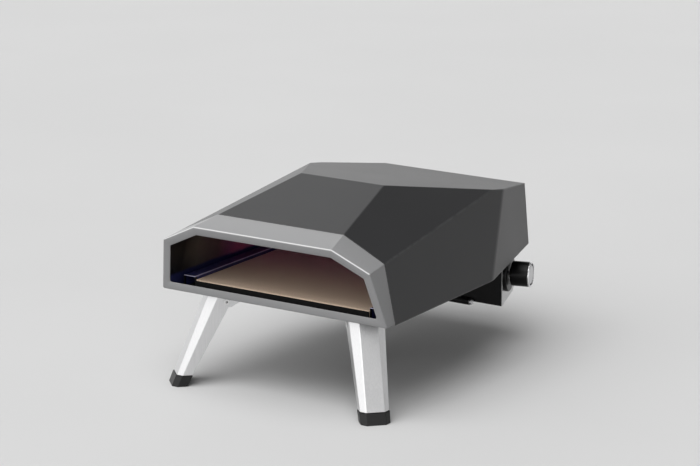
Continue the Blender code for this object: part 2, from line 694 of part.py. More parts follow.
def tube_object(name, points, radius, material, parent, detail=3):
    """A round tube along points, as a mesh with closed ends."""
    curve = bpy.data.curves.new(name, "CURVE")
    curve.dimensions = "3D"
    curve.bevel_depth = radius
    curve.bevel_resolution = detail
    curve.use_fill_caps = True
    spline = curve.splines.new("POLY")
    spline.points.add(len(points) - 1)
    for point, place in zip(spline.points, points):
        point.co = (*place, 1.0)
    guide = bpy.data.objects.new(name + " guide", curve)
    CUTTERS.objects.link(guide)
    bpy.context.view_layer.update()
    evaluated = guide.evaluated_get(bpy.context.evaluated_depsgraph_get())
    mesh = bpy.data.meshes.new_from_object(evaluated)
    bpy.data.objects.remove(guide, do_unlink=True)
    form = bmesh.new()
    form.from_mesh(mesh)
    bmesh.ops.remove_doubles(form, verts=form.verts, dist=FIT / 10)
    bpy.data.meshes.remove(mesh)
    return add_object(name, mesh_from(form, name), material, parent)


def rounded_route(corners, radius, steps=6):
    """Points along straight runs whose corners are turned on arcs of one radius."""
    route = [Vector(corners[0])]
    for before, corner, after in zip(corners, corners[1:], corners[2:]):
        corner = Vector(corner)
        back = (Vector(before) - corner).normalized()
        ahead = (Vector(after) - corner).normalized()
        half = back.angle(ahead) / 2
        reach = radius / math.tan(half)
        centre = corner + (back + ahead).normalized() * radius / math.sin(half)
        start = (corner + back * reach - centre).normalized()
        end = (corner + ahead * reach - centre).normalized()
        for step in range(steps + 1):
            route.append(centre + start.slerp(end, step / steps) * radius)
    route.append(Vector(corners[-1]))
    return route


def build_gas_line(parent):
    """Jet on the valve, and the venturi tube that climbs from it to the burner's rear side."""
    base = -KNOB_DROP + VALVE_HEIGHT / 2 + FIT
    profile = [(0.0, JET_LENGTH), (JET_RADIUS / 2, JET_LENGTH), (JET_RADIUS, JET_LENGTH / 2),
               (JET_RADIUS, 0.0), (0.0, 0.0)]
    turned("gas_jet", profile, BRASS, parent, (VALVE_X, VALVE_Y, base), sides=SMALL_ROUND)
    corners = [(VALVE_X, VALVE_Y, base + JET_LENGTH + FIT), (VALVE_X, VALVE_Y, BURNER_RISE),
               (VALVE_X, BURNER_Y, BURNER_RISE)]
    line = rounded_route(corners, VENTURI_BEND)
    venturi = tube_object("venturi_tube", line, VENTURI_RADIUS, STAINLESS, parent)
    trim = rod_mesh("cut venturi end", (-BURNER_HALF, BURNER_Y, BURNER_RISE),
                    (BURNER_HALF, BURNER_Y, BURNER_RISE), BURNER_RADIUS + FIT)
    cut(venturi, add_object("cut venturi end", trim, None, parent))
    behind = block_mesh("cut venturi stub", (0.0, 0.0, 0.0), (FRONT_HALF_WIDTH, BURNER_Y, RIDGE_HEIGHT))
    cut(venturi, add_object("cut venturi stub", behind, None, parent))
    below = Vector((0.0, 0.0, -OVERRUN))
    ahead = Vector((0.0, -BURNER_RADIUS, 0.0))
    longer = [Vector(corners[0]) + below, corners[1], Vector(corners[2]) + ahead]
    route = rounded_route(longer, VENTURI_BEND)
    bore = tube_object("cut venturi bore", route, VENTURI_RADIUS - BURNER_WALL, None, parent)
    cut(venturi, bore)
    inlet = rod_mesh("cut burner inlet", corners[2], (VALVE_X, BURNER_Y + 2 * BURNER_RADIUS, BURNER_RISE),
                     VENTURI_RADIUS - BURNER_WALL)
    cut(bpy.data.objects["burner_tube"], add_object("cut burner inlet", inlet, None, parent))


def build_probes(parent):
    """Spark electrode and flame-failure probe through the chamber's rear wall, each with its lead."""
    tail = CHAMBER_BACK + PROBE_TAIL
    tip = BURNER_Y + BURNER_RADIUS + ELECTRODE_TIP / 4
    for name, across, radius, material in (("spark_electrode", ELECTRODE_X, ELECTRODE_RADIUS, CERAMIC),
                                           ("flame_probe", PROBE_X, PROBE_RADIUS, BRASS)):
        body = rod_mesh(name, (across, tip + ELECTRODE_TIP, BURNER_RISE), (across, tail, BURNER_RISE),
                        radius, SMALL_ROUND)
        probe = add_object(name, body, material, parent)
        point = rod_mesh(name + " tip", (across, tip, BURNER_RISE),
                         (across, tail - ELECTRODE_TIP, BURNER_RISE), ELECTRODE_TIP_RADIUS, SMALL_ROUND)
        join(probe, add_object(name + " tip", point, None, parent))
    start = tail + FIT
    bend = 3 * LEAD_RADIUS
    lug = igniter_lug()
    drop = lug.y - IGNITER_LUG / 2
    spark_route = [(ELECTRODE_X, start, BURNER_RISE), (ELECTRODE_X, drop, BURNER_RISE),
                   (ELECTRODE_X, drop, lug.z + LEAD_RADIUS + FIT)]
    tube_object("spark_lead", rounded_route(spark_route, bend, 3), LEAD_RADIUS, RED_SILICONE, parent, 1)
    inner_end = VALVE_SETBACK + VALVE_LENGTH
    gap = FIT / math.cos(CONTROL_TURN) + LEAD_RADIUS * math.tan(CONTROL_TURN)
    end_x = KNOB_X - math.cos(CONTROL_TURN) * inner_end - gap
    end_y = KNOB_Y - math.sin(CONTROL_TURN) * inner_end
    probe_route = [(PROBE_X, start, BURNER_RISE), (PROBE_X, end_y, BURNER_RISE),
                   (PROBE_X, end_y, -KNOB_DROP), (end_x, end_y, -KNOB_DROP)]
    tube_object("flame_probe_lead", rounded_route(probe_route, bend, 3), LEAD_RADIUS, COPPER, parent, 1)


def igniter_lug():
    """The end of the igniter's terminal lug, inside the control box."""
    return Vector((ELECTRODE_X, CONTROL_FRONT + CONTROL_SHEET + IGNITER_LUG, -IGNITER_DROP + IGNITER_LUG))


def control_outline(inset):
    """The control box's side outline in Y and Z, from its front top corner down and round."""
    front = CONTROL_FRONT + inset
    rear = CONTROL_REAR - inset
    front_drop = CONTROL_FRONT_DROP - inset
    rear_drop = CONTROL_REAR_DROP - inset
    return [(front, -FIT), (front, -front_drop), (rear - CONTROL_CHAMFER, -rear_drop),
            (rear, -rear_drop + CONTROL_CHAMFER), (rear, -FIT)]


def build_control_box(parent, end_axis, knob_axis):
    """Control housing: a folded black sheet, closed by a plate at each end.

    The right end plate is turned parallel to the body's tapered side, so the sheet's end is cut
    at that angle.
    """
    left = CONTROL_LEFT + CONTROL_SHEET + FIT
    right = CONTROL_RIGHT + OVERRUN
    folded = plate_mesh("control_box", control_outline(0.0), left, right, 0)
    box = add_object("control_box", folded, BLACK, parent)
    hollow = [(y, OVERRUN if z == -FIT else z) for y, z in control_outline(CONTROL_SHEET)]
    inside = plate_mesh("cut control inside", hollow, left - OVERRUN, right + OVERRUN, 0)
    cut(box, add_object("cut control inside", inside, None, parent))
    low = (-CONTROL_SHEET - FIT, -CONTROL_DEPTH, -CONTROL_FRONT_DROP - OVERRUN)
    high = (CONTROL_DEPTH, CONTROL_DEPTH + CONTROL_DEPTH, OVERRUN)
    cut(box, add_object("cut control end", block_mesh("cut control end", low, high), None, end_axis))
    lug = igniter_lug()
    across = IGNITER_LUG / 2 + FIT
    rise = LEAD_RADIUS + FIT
    slot = block_mesh("cut control lug", (lug.x - across, CONTROL_FRONT - OVERRUN, lug.z - rise),
                      (lug.x + across, CONTROL_FRONT + CONTROL_SHEET + OVERRUN, lug.z + rise))
    cut(box, add_object("cut control lug", slot, None, parent))
    rear_wall = CONTROL_REAR - CONTROL_SHEET
    inlet = rod_mesh("cut control inlet", (VALVE_X, rear_wall - OVERRUN, inlet_height()),
                     (VALVE_X, CONTROL_REAR + OVERRUN, inlet_height()), INLET_RADIUS + FIT)
    cut(box, add_object("cut control inlet", inlet, None, parent))
    slant = math.cos(CONTROL_TURN)
    outline = [((y - CONTROL_FRONT) / slant, z) for y, z in control_outline(0.0)]
    plate = plate_mesh("control_side_right", outline, -CONTROL_SHEET, 0.0, 0)
    knob_side = add_object("control_side_right", plate, STAINLESS, end_axis)
    neck = rod_mesh("cut control neck", (-OVERRUN, 0.0, 0.0), (OVERRUN, 0.0, 0.0), NECK_RADIUS + FIT)
    cut(knob_side, add_object("cut control neck", neck, None, knob_axis))
    plate = plate_mesh("control_side_left", control_outline(0.0), CONTROL_LEFT,
                       CONTROL_LEFT + CONTROL_SHEET, 0)
    add_object("control_side_left", plate, BLACK, parent)


def inlet_height():
    """Height of the gas inlet's axis."""
    return -KNOB_DROP - INLET_BELOW_VALVE_AXIS


def valve_block(name, grow):
    """The valve's block about the knob's axis, or the room that it needs."""
    low = (-VALVE_SETBACK - VALVE_LENGTH - grow, -VALVE_DEPTH / 2 - grow, -VALVE_HEIGHT / 2 - grow)
    high = (-VALVE_SETBACK + grow, VALVE_DEPTH / 2 + grow, VALVE_HEIGHT / 2 + grow)
    return block_mesh(name, low, high)


def build_valve(parent, knob_axis):
    """Gas valve body with its neck through the end plate, and the inlet socket out of the box's rear."""
    valve = add_object("gas_valve", valve_block("gas_valve", 0.0), BRASS, knob_axis)
    neck = rod_mesh("valve neck", (-VALVE_REACH, 0.0, 0.0), (NECK_PROUD, 0.0, 0.0), NECK_RADIUS)
    join(valve, add_object("valve neck", neck, None, knob_axis))
    bore = rod_mesh("cut valve bore", (-VALVE_REACH, 0.0, 0.0), (OVERRUN, 0.0, 0.0), PLUG_RADIUS + FIT)
    cut(valve, add_object("cut valve bore", bore, None, knob_axis))
    nut = CONTROL_REAR - VALVE_Y + FIT
    tip = nut + INLET_NUT + INLET_TIP
    bore_radius = INLET_RADIUS / 2
    profile = [(bore_radius, tip), (INLET_RADIUS, tip), (INLET_RADIUS, nut + INLET_NUT),
               (INLET_NUT_RADIUS, nut + INLET_NUT), (INLET_NUT_RADIUS, nut), (INLET_RADIUS, nut),
               (INLET_RADIUS, 0.0), (bore_radius, 0.0)]
    inlet = turned("gas_inlet", profile, BRASS, parent, (VALVE_X, VALVE_Y, inlet_height()),
                   (-math.pi / 2, 0.0, 0.0), closed=True, sides=SMALL_ROUND)
    cut(inlet, add_object("cut inlet end", valve_block("cut inlet end", FIT), None, knob_axis))


def build_knob(parent):
    """Plug, spindle, knob, its metal ring and cap, and the bezel on the side plate; local +X points out."""
    turn = (0.0, math.pi / 2, 0.0)
    mouth = NECK_PROUD - FIT
    plug_length = NECK_PROUD + VALVE_REACH - 2 * FIT
    hole = SPINDLE_RADIUS + FIT
    plug_end = mouth - plug_length
    plug = [(0.0, plug_end + PLUG_FLOOR), (hole, plug_end + PLUG_FLOOR), (hole, mouth),
            (PLUG_RADIUS, mouth), (PLUG_RADIUS, plug_end), (0.0, plug_end)]
    turned("valve_plug", plug, BRASS, parent, turn=turn, sides=SMALL_ROUND)
    skirt = BEZEL_THICKNESS + FIT + KNOB_TRAVEL + FIT
    grip_start = skirt + KNOB_LENGTH - KNOB_RING_LENGTH - SPINDLE_GRIP
    inner_end = plug_end + PLUG_FLOOR + KNOB_TRAVEL + FIT
    grip_end = grip_start + SPINDLE_GRIP - KNOB_WALL
    collar = grip_start - SPINDLE_COLLAR
    spindle = [(0.0, grip_end), (SPINDLE_RADIUS, grip_end), (SPINDLE_RADIUS, grip_start - FIT),
               (SPINDLE_COLLAR_RADIUS, grip_start - FIT), (SPINDLE_COLLAR_RADIUS, collar),
               (SPINDLE_RADIUS, collar), (SPINDLE_RADIUS, inner_end), (0.0, inner_end)]
    turned("valve_spindle", spindle, STEEL, parent, turn=turn, sides=SMALL_ROUND)
    face = skirt + KNOB_LENGTH
    cup = KNOB_RADIUS - KNOB_WALL
    seat = face - KNOB_RING_LENGTH
    step = KNOB_RING_RADIUS - KNOB_RING_WALL - FIT
    cap_base = face - KNOB_CAP_THICKNESS - KNOB_CAP_SINK
    knob = [(0.0, cap_base - FIT), (step, cap_base - FIT), (step, seat - FIT), (KNOB_RADIUS, seat - FIT),
            (KNOB_RADIUS, skirt), (cup, skirt), (cup, grip_start), (hole, grip_start),
            (hole, grip_end + FIT), (0.0, grip_end + FIT)]
    turned("knob", knob, GLOSS_BLACK, parent, turn=turn)
    ring = [(step + FIT, face), (KNOB_RING_RADIUS, face), (KNOB_RING_RADIUS, seat), (step + FIT, seat)]
    turned("knob_ring", ring, CHROME, parent, turn=turn, closed=True)
    cap = [(0.0, face - KNOB_CAP_SINK), (step, face - KNOB_CAP_SINK), (step, cap_base), (0.0, cap_base)]
    turned("knob_cap", cap, SATIN, parent, turn=turn)
    bezel_hole = NECK_RADIUS + FIT
    bezel = [(bezel_hole, BEZEL_THICKNESS + FIT), (BEZEL_RADIUS - BEZEL_EDGE, BEZEL_THICKNESS + FIT),
             (BEZEL_RADIUS, BEZEL_THICKNESS + FIT - BEZEL_EDGE), (BEZEL_RADIUS, FIT), (bezel_hole, FIT)]
    turned("knob_bezel", bezel, GLOSS_BLACK, parent, turn=turn, closed=True)


def build_igniter(parent):
    """Push igniter: barrel across the control box's lower front edge, and its button."""
    axis_y = CONTROL_FRONT - IGNITER_RADIUS - FIT
    start = Vector((IGNITER_END - IGNITER_LENGTH, axis_y, -IGNITER_DROP))
    end = Vector((IGNITER_END, axis_y, -IGNITER_DROP))
    tube = rod_mesh("igniter_barrel", start, end, IGNITER_RADIUS, SMALL_ROUND)
    barrel = add_object("igniter_barrel", tube, BLACK, parent)
    lug = igniter_lug()
    low = (lug.x - IGNITER_LUG / 2, axis_y, lug.z - LEAD_RADIUS)
    high = (lug.x + IGNITER_LUG / 2, lug.y, lug.z + LEAD_RADIUS)
    join(barrel, add_object("igniter lug", block_mesh("igniter lug", low, high), None, parent))
    inward = Vector((BUTTON_DEPTH, 0.0, 0.0))
    pocket = rod_mesh("cut igniter pocket", end - inward, end + inward, BUTTON_RADIUS + FIT, SMALL_ROUND)
    cut(barrel, add_object("cut igniter pocket", pocket, None, parent))
    proud = Vector((BUTTON_PROUD, 0.0, 0.0))
    floor_gap = Vector((BUTTON_TRAVEL + FIT, 0.0, 0.0))
    button = rod_mesh("igniter_button", end - inward + floor_gap, end + proud, BUTTON_RADIUS, SMALL_ROUND)
    add_object("igniter_button", button, SATIN, parent)


def leg_section(shape, height):
    """The leg's open outline at a height from its hinge: six points from free edge to free edge."""
    share = -height / (HINGE_HEIGHT - FOOT_HEIGHT)
    chamfer = shape.hinge_chamfer + (shape.foot_chamfer - shape.hinge_chamfer) * share
    flange = shape.hinge_flange + (shape.foot_flange - shape.hinge_flange) * share
    corner = chamfer * math.sin(math.pi / 4)
    face = -(shape.pin_to_web - math.tan(shape.lean) * height)
    half = shape.web / 2
    right = [(half, face), (half + corner, face + corner), (half + corner, face + corner + flange)]
    left = [(-across, along) for across, along in reversed(right)]
    return [Vector((across, along, height)) for across, along in left + right]


def loft(name, rings, closed):
    """A skin between rings of equally many points, closed round and capped, or left open."""
    form = bmesh.new()
    rows = [[form.verts.new(point) for point in ring] for ring in rings]
    for lower, upper in zip(rows, rows[1:]):
        count = len(lower)
        for index in range(count if closed else count - 1):
            after = (index + 1) % count
            form.faces.new((lower[index], lower[after], upper[after], upper[index]))
    if closed:
        form.faces.new(rows[0])
        form.faces.new(rows[-1])
    return mesh_from(form, name)


def grown_ring(points, reach):
    """An outline moved outwards along its corners by reach, in its own level plane."""
    count = len(points)
    grown = []
    for index, point in enumerate(points):
        before = (point - points[index - 1]).normalized()
        after = (points[(index + 1) % count] - point).normalized()
        normal_before = Vector((before.y, -before.x, 0.0))
        normal_after = Vector((after.y, -after.x, 0.0))
        bisector = (normal_before + normal_after).normalized()
        grown.append(point + bisector * (reach / bisector.dot(normal_after)))
    return grown


def hinge_half_width(shape):
    """Half the leg's outer width level with its hinge."""
    return shape.web / 2 + shape.hinge_chamfer * math.sin(math.pi / 4)


def bracket_half_width(shape):
    """Half the bracket's outer width, inside the leg's side flanges."""
    return hinge_half_width(shape) - LEG_SHEET - BRACKET_SIDE_GAP


def bracket_outline(outer):
    """The bracket's side outline in Y and Z from the hinge: foot end inwards is +Y."""
    top = HINGE_DROP - FIT
    return [(-outer, top), (-outer, -BRACKET_BELOW_PIN / 4), (-BRACKET_TOE, -BRACKET_BELOW_PIN),
            (BRACKET_HEEL, -BRACKET_BELOW_PIN), (BRACKET_INNER, top - BRACKET_HEEL_DROP),
            (BRACKET_INNER, top)]


def bracket_rivet_offsets(outer):
    """Rivet places along the bracket's top plate, from the hinge."""
    return (-outer / 2, BRACKET_INNER - SCREW_HEAD_RADIUS - SCREW_EDGE / 2)


def leg_stations():
    """Name, shape, hinge place from the body's front lower edge, and turn of each leg."""
    side = FRONT_HALF_WIDTH - FRONT_HINGE_SIDE_INSET
    return [
        ("front_left", FRONT_LEG, Vector((-side, FRONT_HINGE_SETBACK, -HINGE_DROP)), -FRONT_TURN),
        ("front_right", FRONT_LEG, Vector((side, FRONT_HINGE_SETBACK, -HINGE_DROP)), FRONT_TURN),
        ("rear", REAR_LEG, Vector((0.0, REAR_HINGE_SETBACK, -HINGE_DROP)), 0.0),
    ]


def bracket_rivet_places():
    """Name and place of each bracket rivet, on the underside of the pan."""
    places = []
    for name, shape, hinge, turn in leg_stations():
        for index, along in enumerate(bracket_rivet_offsets(shape.bracket_outer)):
            offset = Matrix.Rotation(turn, 3, "Z") @ Vector((0.0, along, 0.0))
            label = "{}_bracket_rivet_{}".format(name, index + 1)
            places.append((label, Vector((hinge.x + offset.x, hinge.y + offset.y, 0.0))))
    return places


def build_leg(name, shape, hinge_empty):
    """One leg of bent stainless sheet, its rubber foot, its hinge pin and its bracket."""
    top = HINGE_DROP - LEG_TOP_GAP
    metal_end = -(HINGE_HEIGHT - FOOT_HEIGHT) + FOOT_SEAT
    sections = [leg_section(shape, metal_end), leg_section(shape, top)]
    leg = add_object(name + "_leg", loft(name + "_leg", sections, False), BRUSHED, hinge_empty)
    wall = leg.modifiers.new("sheet", "SOLIDIFY")
    wall.thickness = LEG_SHEET
    wall.offset = leg_sheet_side(leg)
    wall.use_even_offset = True
    reach = hinge_half_width(shape) + PIN_HEAD + OVERRUN
    label = "cut {} pin hole".format(name)
    hole = rod_mesh(label, (-reach, 0.0, 0.0), (reach, 0.0, 0.0), PIN_RADIUS + FIT, SMALL_ROUND)
    hole_cutter = add_object(label, hole, None, hinge_empty)
    cut(leg, hole_cutter)
    build_foot(name, shape, hinge_empty)
    build_bracket(name, shape, hinge_empty, hole_cutter)
    build_pin(name, shape, hinge_empty)


def leg_sheet_side(leg):
    """Solidify offset that grows the sheet away from the leg's outer face, whichever way it points."""
    web = leg.data.polygons[2]
    return -1.0 if web.normal.y < 0 else 1.0


def build_foot(name, shape, hinge_empty):
    """Rubber foot: a block of the leg's outline, a little proud of it, with a plug up inside the leg."""
    ground = -HINGE_HEIGHT
    block_top = ground + FOOT_HEIGHT - FIT
    plug_top = block_top + FOOT_PLUG
    plug_inset = -(LEG_SHEET / math.cos(shape.lean) + FOOT_SEAT)
    levels = [(ground, FOOT_PROUD), (block_top, FOOT_PROUD), (block_top, plug_inset), (plug_top, plug_inset)]
    rings = [grown_ring(leg_section(shape, height), reach) for height, reach in levels]
    add_object(name + "_foot", loft(name + "_foot", rings, True), RUBBER, hinge_empty)


def build_bracket(name, shape, hinge_empty, hole_cutter):
    """U-shaped hinge bracket under the pan: two cheeks and a top plate, with holes for two rivets."""
    half = bracket_half_width(shape)
    label = name + "_leg_bracket"
    block = plate_mesh(label, bracket_outline(shape.bracket_outer), -half, half, 0)
    bracket = add_object(label, block, BRUSHED, hinge_empty)
    top = HINGE_DROP - FIT
    low = (-half + BRACKET_SHEET, -shape.bracket_outer - OVERRUN, -HINGE_DROP)
    high = (half - BRACKET_SHEET, BRACKET_INNER + OVERRUN, top - BRACKET_SHEET)
    inside = block_mesh("cut " + label, low, high)
    cut(bracket, add_object("cut " + label, inside, None, hinge_empty))
    cut(bracket, hole_cutter)
    for index, along in enumerate(bracket_rivet_offsets(shape.bracket_outer)):
        hole_label = "cut {} rivet {}".format(label, index)
        hole = rod_mesh(hole_label, (0.0, along, top - OVERRUN), (0.0, along, top + OVERRUN),
                        SCREW_RADIUS + FIT, SMALL_ROUND)
        cut(bracket, add_object(hole_label, hole, None, hinge_empty))
        add_screw("{}_bracket_rivet_{}".format(name, index + 1), Vector((0.0, along, top - BRACKET_SHEET)),
                  Vector((0.0, 0.0, -1.0)), hinge_empty, FIT + BRACKET_SHEET + PAN_SHEET)


def build_pin(name, shape, hinge_empty):
    """Hinge pin with a low head outside each side flange."""
    half = hinge_half_width(shape) + FIT
    end = half + PIN_HEAD
    profile = [(0.0, end), (PIN_HEAD_RADIUS - PIN_HEAD / 2, end), (PIN_HEAD_RADIUS, half + PIN_HEAD / 2),
               (PIN_HEAD_RADIUS, half + FIT), (PIN_RADIUS, half + FIT)]
    mirrored = [(radius, -height) for radius, height in reversed(profile)]
    turned(name + "_leg_pin", profile + mirrored, STEEL, hinge_empty, turn=(0.0, math.pi / 2, 0.0),
           sides=SMALL_ROUND)


def build_oven():
    """Build every sub-part of the oven."""
    body = make_empty("body_datum", (0.0, -BODY_MIDDLE, LEG_HEIGHT))
    build_fascia(body)
    build_shell(body)
    build_back_panel(body)
    build_back_screws(body)
    build_pan(body)
    build_liner(body)
    build_blanket(body)
    build_stone(body)
    build_tray(body)
    build_rails(body)
    build_burner(body)
    build_guard(body)
    build_gas_line(body)
    build_probes(body)
    end_turn = (0.0, 0.0, CONTROL_TURN)
    end_axis = make_empty("control_end", (CONTROL_RIGHT, CONTROL_FRONT, 0.0), end_turn, body)
    knob_axis = make_empty("knob_axis", (KNOB_X, KNOB_Y, -KNOB_DROP), end_turn, body)
    build_control_box(body, end_axis, knob_axis)
    build_valve(body, knob_axis)
    build_knob(knob_axis)
    build_igniter(body)
    for name, shape, hinge, turn in leg_stations():
        build_leg(name, shape, make_empty(name + "_hinge", hinge, (0.0, 0.0, turn), body))


clear_scene()
OVEN = make_collection("pizza_oven", bpy.context.scene.collection)
CUTTERS = make_collection("cutters", bpy.context.scene.collection)
SILVER = make_material("silver coat", (0.42, 0.42, 0.43), 0.45, 0.3)
GRAPHITE = make_material("graphite coat", (0.07, 0.07, 0.075), 0.5, 0.1)
BLACK = make_material("black coat", (0.01, 0.01, 0.011), 0.5, 0.0)
DARK_STEEL = make_material("dark sheet steel", (0.08, 0.08, 0.085), 0.5, 0.6)
HEAT_STEEL = make_material("heat-darkened steel", (0.05, 0.04, 0.06), 0.4, 0.8)
STAINLESS = make_material("stainless sheet", (0.55, 0.55, 0.56), 0.3, 1.0)
BRUSHED = make_material("brushed stainless", (0.62, 0.62, 0.63), 0.32, 1.0)
STEEL = make_material("zinc-plated steel", (0.5, 0.5, 0.5), 0.35, 1.0)
CHROME = make_material("chrome", (0.75, 0.75, 0.76), 0.1, 1.0)
SATIN = make_material("satin metal", (0.6, 0.6, 0.61), 0.3, 1.0)
BRASS = make_material("brass", (0.6, 0.45, 0.2), 0.35, 1.0)
COPPER = make_material("copper tube", (0.6, 0.3, 0.2), 0.35, 1.0)
GLOSS_BLACK = make_material("gloss black plastic", (0.01, 0.01, 0.01), 0.15, 0.0)
RUBBER = make_material("black rubber", (0.015, 0.015, 0.016), 0.7, 0.0)
CORDIERITE = make_material("cordierite stone", (0.5, 0.4, 0.29), 0.9, 0.0)
CERAMIC = make_material("white ceramic", (0.8, 0.79, 0.75), 0.4, 0.0)
RED_SILICONE = make_material("red silicone lead", (0.35, 0.03, 0.02), 0.5, 0.0)
FIBRE = make_material("ceramic fibre", (0.75, 0.74, 0.7), 0.95, 0.0)
build_oven()
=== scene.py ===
"""Looks of a portable gas pizza oven on three folding legs.

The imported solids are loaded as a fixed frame: metres, mouth towards -Y, knob towards +X, ground at z 0.
Bent sheet, turned pieces and the baking stone are rebuilt as finer surfaces in the places that the
frame gives, and every piece gets a finish made of shader nodes.
"""

from __future__ import annotations

import json
import logging
import math
from dataclasses import dataclass, field
from enum import Enum
from typing import Iterable, Sequence

import bmesh
import bpy
import numpy as np
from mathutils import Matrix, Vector

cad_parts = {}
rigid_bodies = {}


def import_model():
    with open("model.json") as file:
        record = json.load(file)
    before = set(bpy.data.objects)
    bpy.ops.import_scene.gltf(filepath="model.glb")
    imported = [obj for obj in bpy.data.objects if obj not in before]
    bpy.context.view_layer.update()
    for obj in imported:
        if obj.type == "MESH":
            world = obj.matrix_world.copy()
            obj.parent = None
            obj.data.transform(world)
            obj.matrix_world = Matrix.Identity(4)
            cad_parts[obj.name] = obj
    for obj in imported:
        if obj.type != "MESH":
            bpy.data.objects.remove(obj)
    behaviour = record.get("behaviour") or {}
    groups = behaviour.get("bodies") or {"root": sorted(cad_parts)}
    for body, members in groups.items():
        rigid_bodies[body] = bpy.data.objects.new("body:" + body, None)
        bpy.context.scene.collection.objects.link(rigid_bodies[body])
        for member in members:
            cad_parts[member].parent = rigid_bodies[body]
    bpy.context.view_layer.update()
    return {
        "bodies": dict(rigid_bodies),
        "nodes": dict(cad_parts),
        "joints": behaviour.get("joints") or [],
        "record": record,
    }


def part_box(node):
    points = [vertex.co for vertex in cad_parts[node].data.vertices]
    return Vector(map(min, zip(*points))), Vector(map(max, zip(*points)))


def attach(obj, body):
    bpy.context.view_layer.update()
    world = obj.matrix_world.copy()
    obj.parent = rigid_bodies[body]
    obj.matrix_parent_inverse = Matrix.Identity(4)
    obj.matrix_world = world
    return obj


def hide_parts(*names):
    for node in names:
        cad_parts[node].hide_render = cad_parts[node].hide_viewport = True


LOG = logging.getLogger("pizza_oven")
ROOT_BODY = "body"
# Name of the mesh attribute that carries the painted highlight on the front bend.
BEND_HIGHLIGHT = "painted_bend_highlight"
MERGE = 0.000002
FLAT = math.radians(0.5)
SHARP = math.radians(35)
SHEET_EDGE = math.radians(60)
RIM_STEPS = 2
MIRROR = np.array((-1.0, 1.0, 1.0))
UP = np.array((0.0, 0.0, 1.0))
MILLIMETRES = 1000

Piece = bpy.types.Object
Socket = bpy.types.NodeSocket
Rgb = tuple[float, float, float]


class Slot(Enum):
    """Material slots of the record."""

    SILVER = "silver_coat"
    GRAPHITE = "graphite_coat"
    BLACK = "black_coat"
    DARK_STEEL = "dark_steel"
    HEAT_STEEL = "heat_steel"
    STAINLESS = "stainless_sheet"
    BRUSHED = "brushed_stainless"
    ZINC = "zinc_steel"
    CHROME = "chrome"
    SATIN = "satin_metal"
    BRASS = "brass"
    COPPER = "copper"
    GLOSS = "gloss_black"
    RUBBER = "black_rubber"
    SILICONE = "red_silicone"
    STONE = "cordierite"
    CERAMIC = "white_ceramic"
    FIBRE = "ceramic_fibre"


class Facet(Enum):
    """The body's flat facets, each with the rough way it faces on the right half."""

    SIDE = (0.98, 0.01, 0.21)
    HIP = (0.43, -0.10, 0.90)
    TAPER = (0.96, 0.28, 0.04)
    FRONT_ROOF = (0.0, -0.21, 0.98)
    REAR_ROOF = (0.0, 0.17, 0.99)
    FRONT = (0.0, -0.97, -0.24)
    BACK = (0.0, 0.99, 0.16)
    BOTTOM = (0.0, 0.0, -1.0)
    SEAM = (0.0, -1.0, 0.0)


def unit(vectors: np.ndarray) -> np.ndarray:
    """Vectors of length one along the last axis."""
    return vectors / np.linalg.norm(vectors, axis=-1, keepdims=True)


def mesh_values(items: bpy.types.bpy_prop_collection, name: str, width: int) -> np.ndarray:
    """A property of a mesh's corners or faces, one row of a given width for each.

    Args:
        items: the mesh's corners or faces.
        name: the property's name.
        width: how many numbers each item has.

    Returns:
        The values, one row for each item.
    """
    values = np.empty(len(items) * width, np.float32)
    items.foreach_get(name, values)
    return values.reshape(-1, width).astype(float)


def box_corners(node: str) -> tuple[np.ndarray, np.ndarray]:
    """A node's lowest and highest corners."""
    low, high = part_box(node)
    return np.array(low), np.array(high)


def grid_quads(rows: int, columns: int, wrap_rows: bool, wrap_columns: bool) -> list[list[int]]:
    """Corner numbers of the quads of a grid of points.

    Formula: quad (i, j) joins points i and i + 1 of columns j and j + 1, counted round where a side wraps.

    Args:
        rows: number of grid rows.
        columns: number of grid columns.
        wrap_rows: whether the last row joins the first.
        wrap_columns: whether the last column joins the first.

    Returns:
        One list of four corner numbers for each quad.
    """
    row = np.arange(rows if wrap_rows else rows - 1)
    column = np.arange(columns if wrap_columns else columns - 1)
    row, column = np.meshgrid(row, column, indexing="ij")
    next_row = (row + 1) % rows
    next_column = (column + 1) % columns
    corners = (row * columns + column, row * columns + next_column,
               next_row * columns + next_column, next_row * columns + column)
    return np.stack(corners, axis=-1).reshape(-1, 4).tolist()


def stack_faces(rows: int, columns: int) -> list[list[int]]:
    """Faces of a stack of closed outlines: the walls between them, and a cap at each end.

    Args:
        rows: number of outlines.
        columns: number of points on each outline.

    Returns:
        The corner numbers of each face.
    """
    last = (rows - 1) * columns
    caps = [list(range(columns)), [last + column for column in reversed(range(columns))]]
    return grid_quads(rows, columns, False, True) + caps


def linked_piece(name: str, mesh: bpy.types.Mesh) -> Piece:
    """A mesh as an object in the scene, shaded smooth but for its sharp edges.

    Args:
        name: the object's name.
        mesh: its mesh.

    Returns:
        The object.
    """
    mesh.shade_smooth()
    mesh.set_sharp_from_angle(angle=SHARP)
    piece = bpy.data.objects.new(name, mesh)
    bpy.context.scene.collection.objects.link(piece)
    return piece


def make_piece(name: str, points: np.ndarray, faces: Sequence[Sequence[int]], closed: bool = True) -> Piece:
    """A mesh object from points and faces, with doubles merged.

    Args:
        name: the object's name.
        points: corner places, any shape that ends in 3.
        faces: corner numbers of each face.
        closed: whether the surface closes, so that its faces can be turned outwards.

    Returns:
        The object, linked to the scene.
    """
    mesh = bpy.data.meshes.new(name)
    mesh.from_pydata(np.asarray(points, float).reshape(-1, 3).tolist(), [], faces)
    form = bmesh.new()
    form.from_mesh(mesh)
    bmesh.ops.remove_doubles(form, verts=form.verts, dist=MERGE)
    bmesh.ops.dissolve_degenerate(form, edges=form.edges, dist=MERGE)
    if closed:
        bmesh.ops.recalc_face_normals(form, faces=form.faces)
    form.to_mesh(mesh)
    form.free()
    return linked_piece(name, mesh)


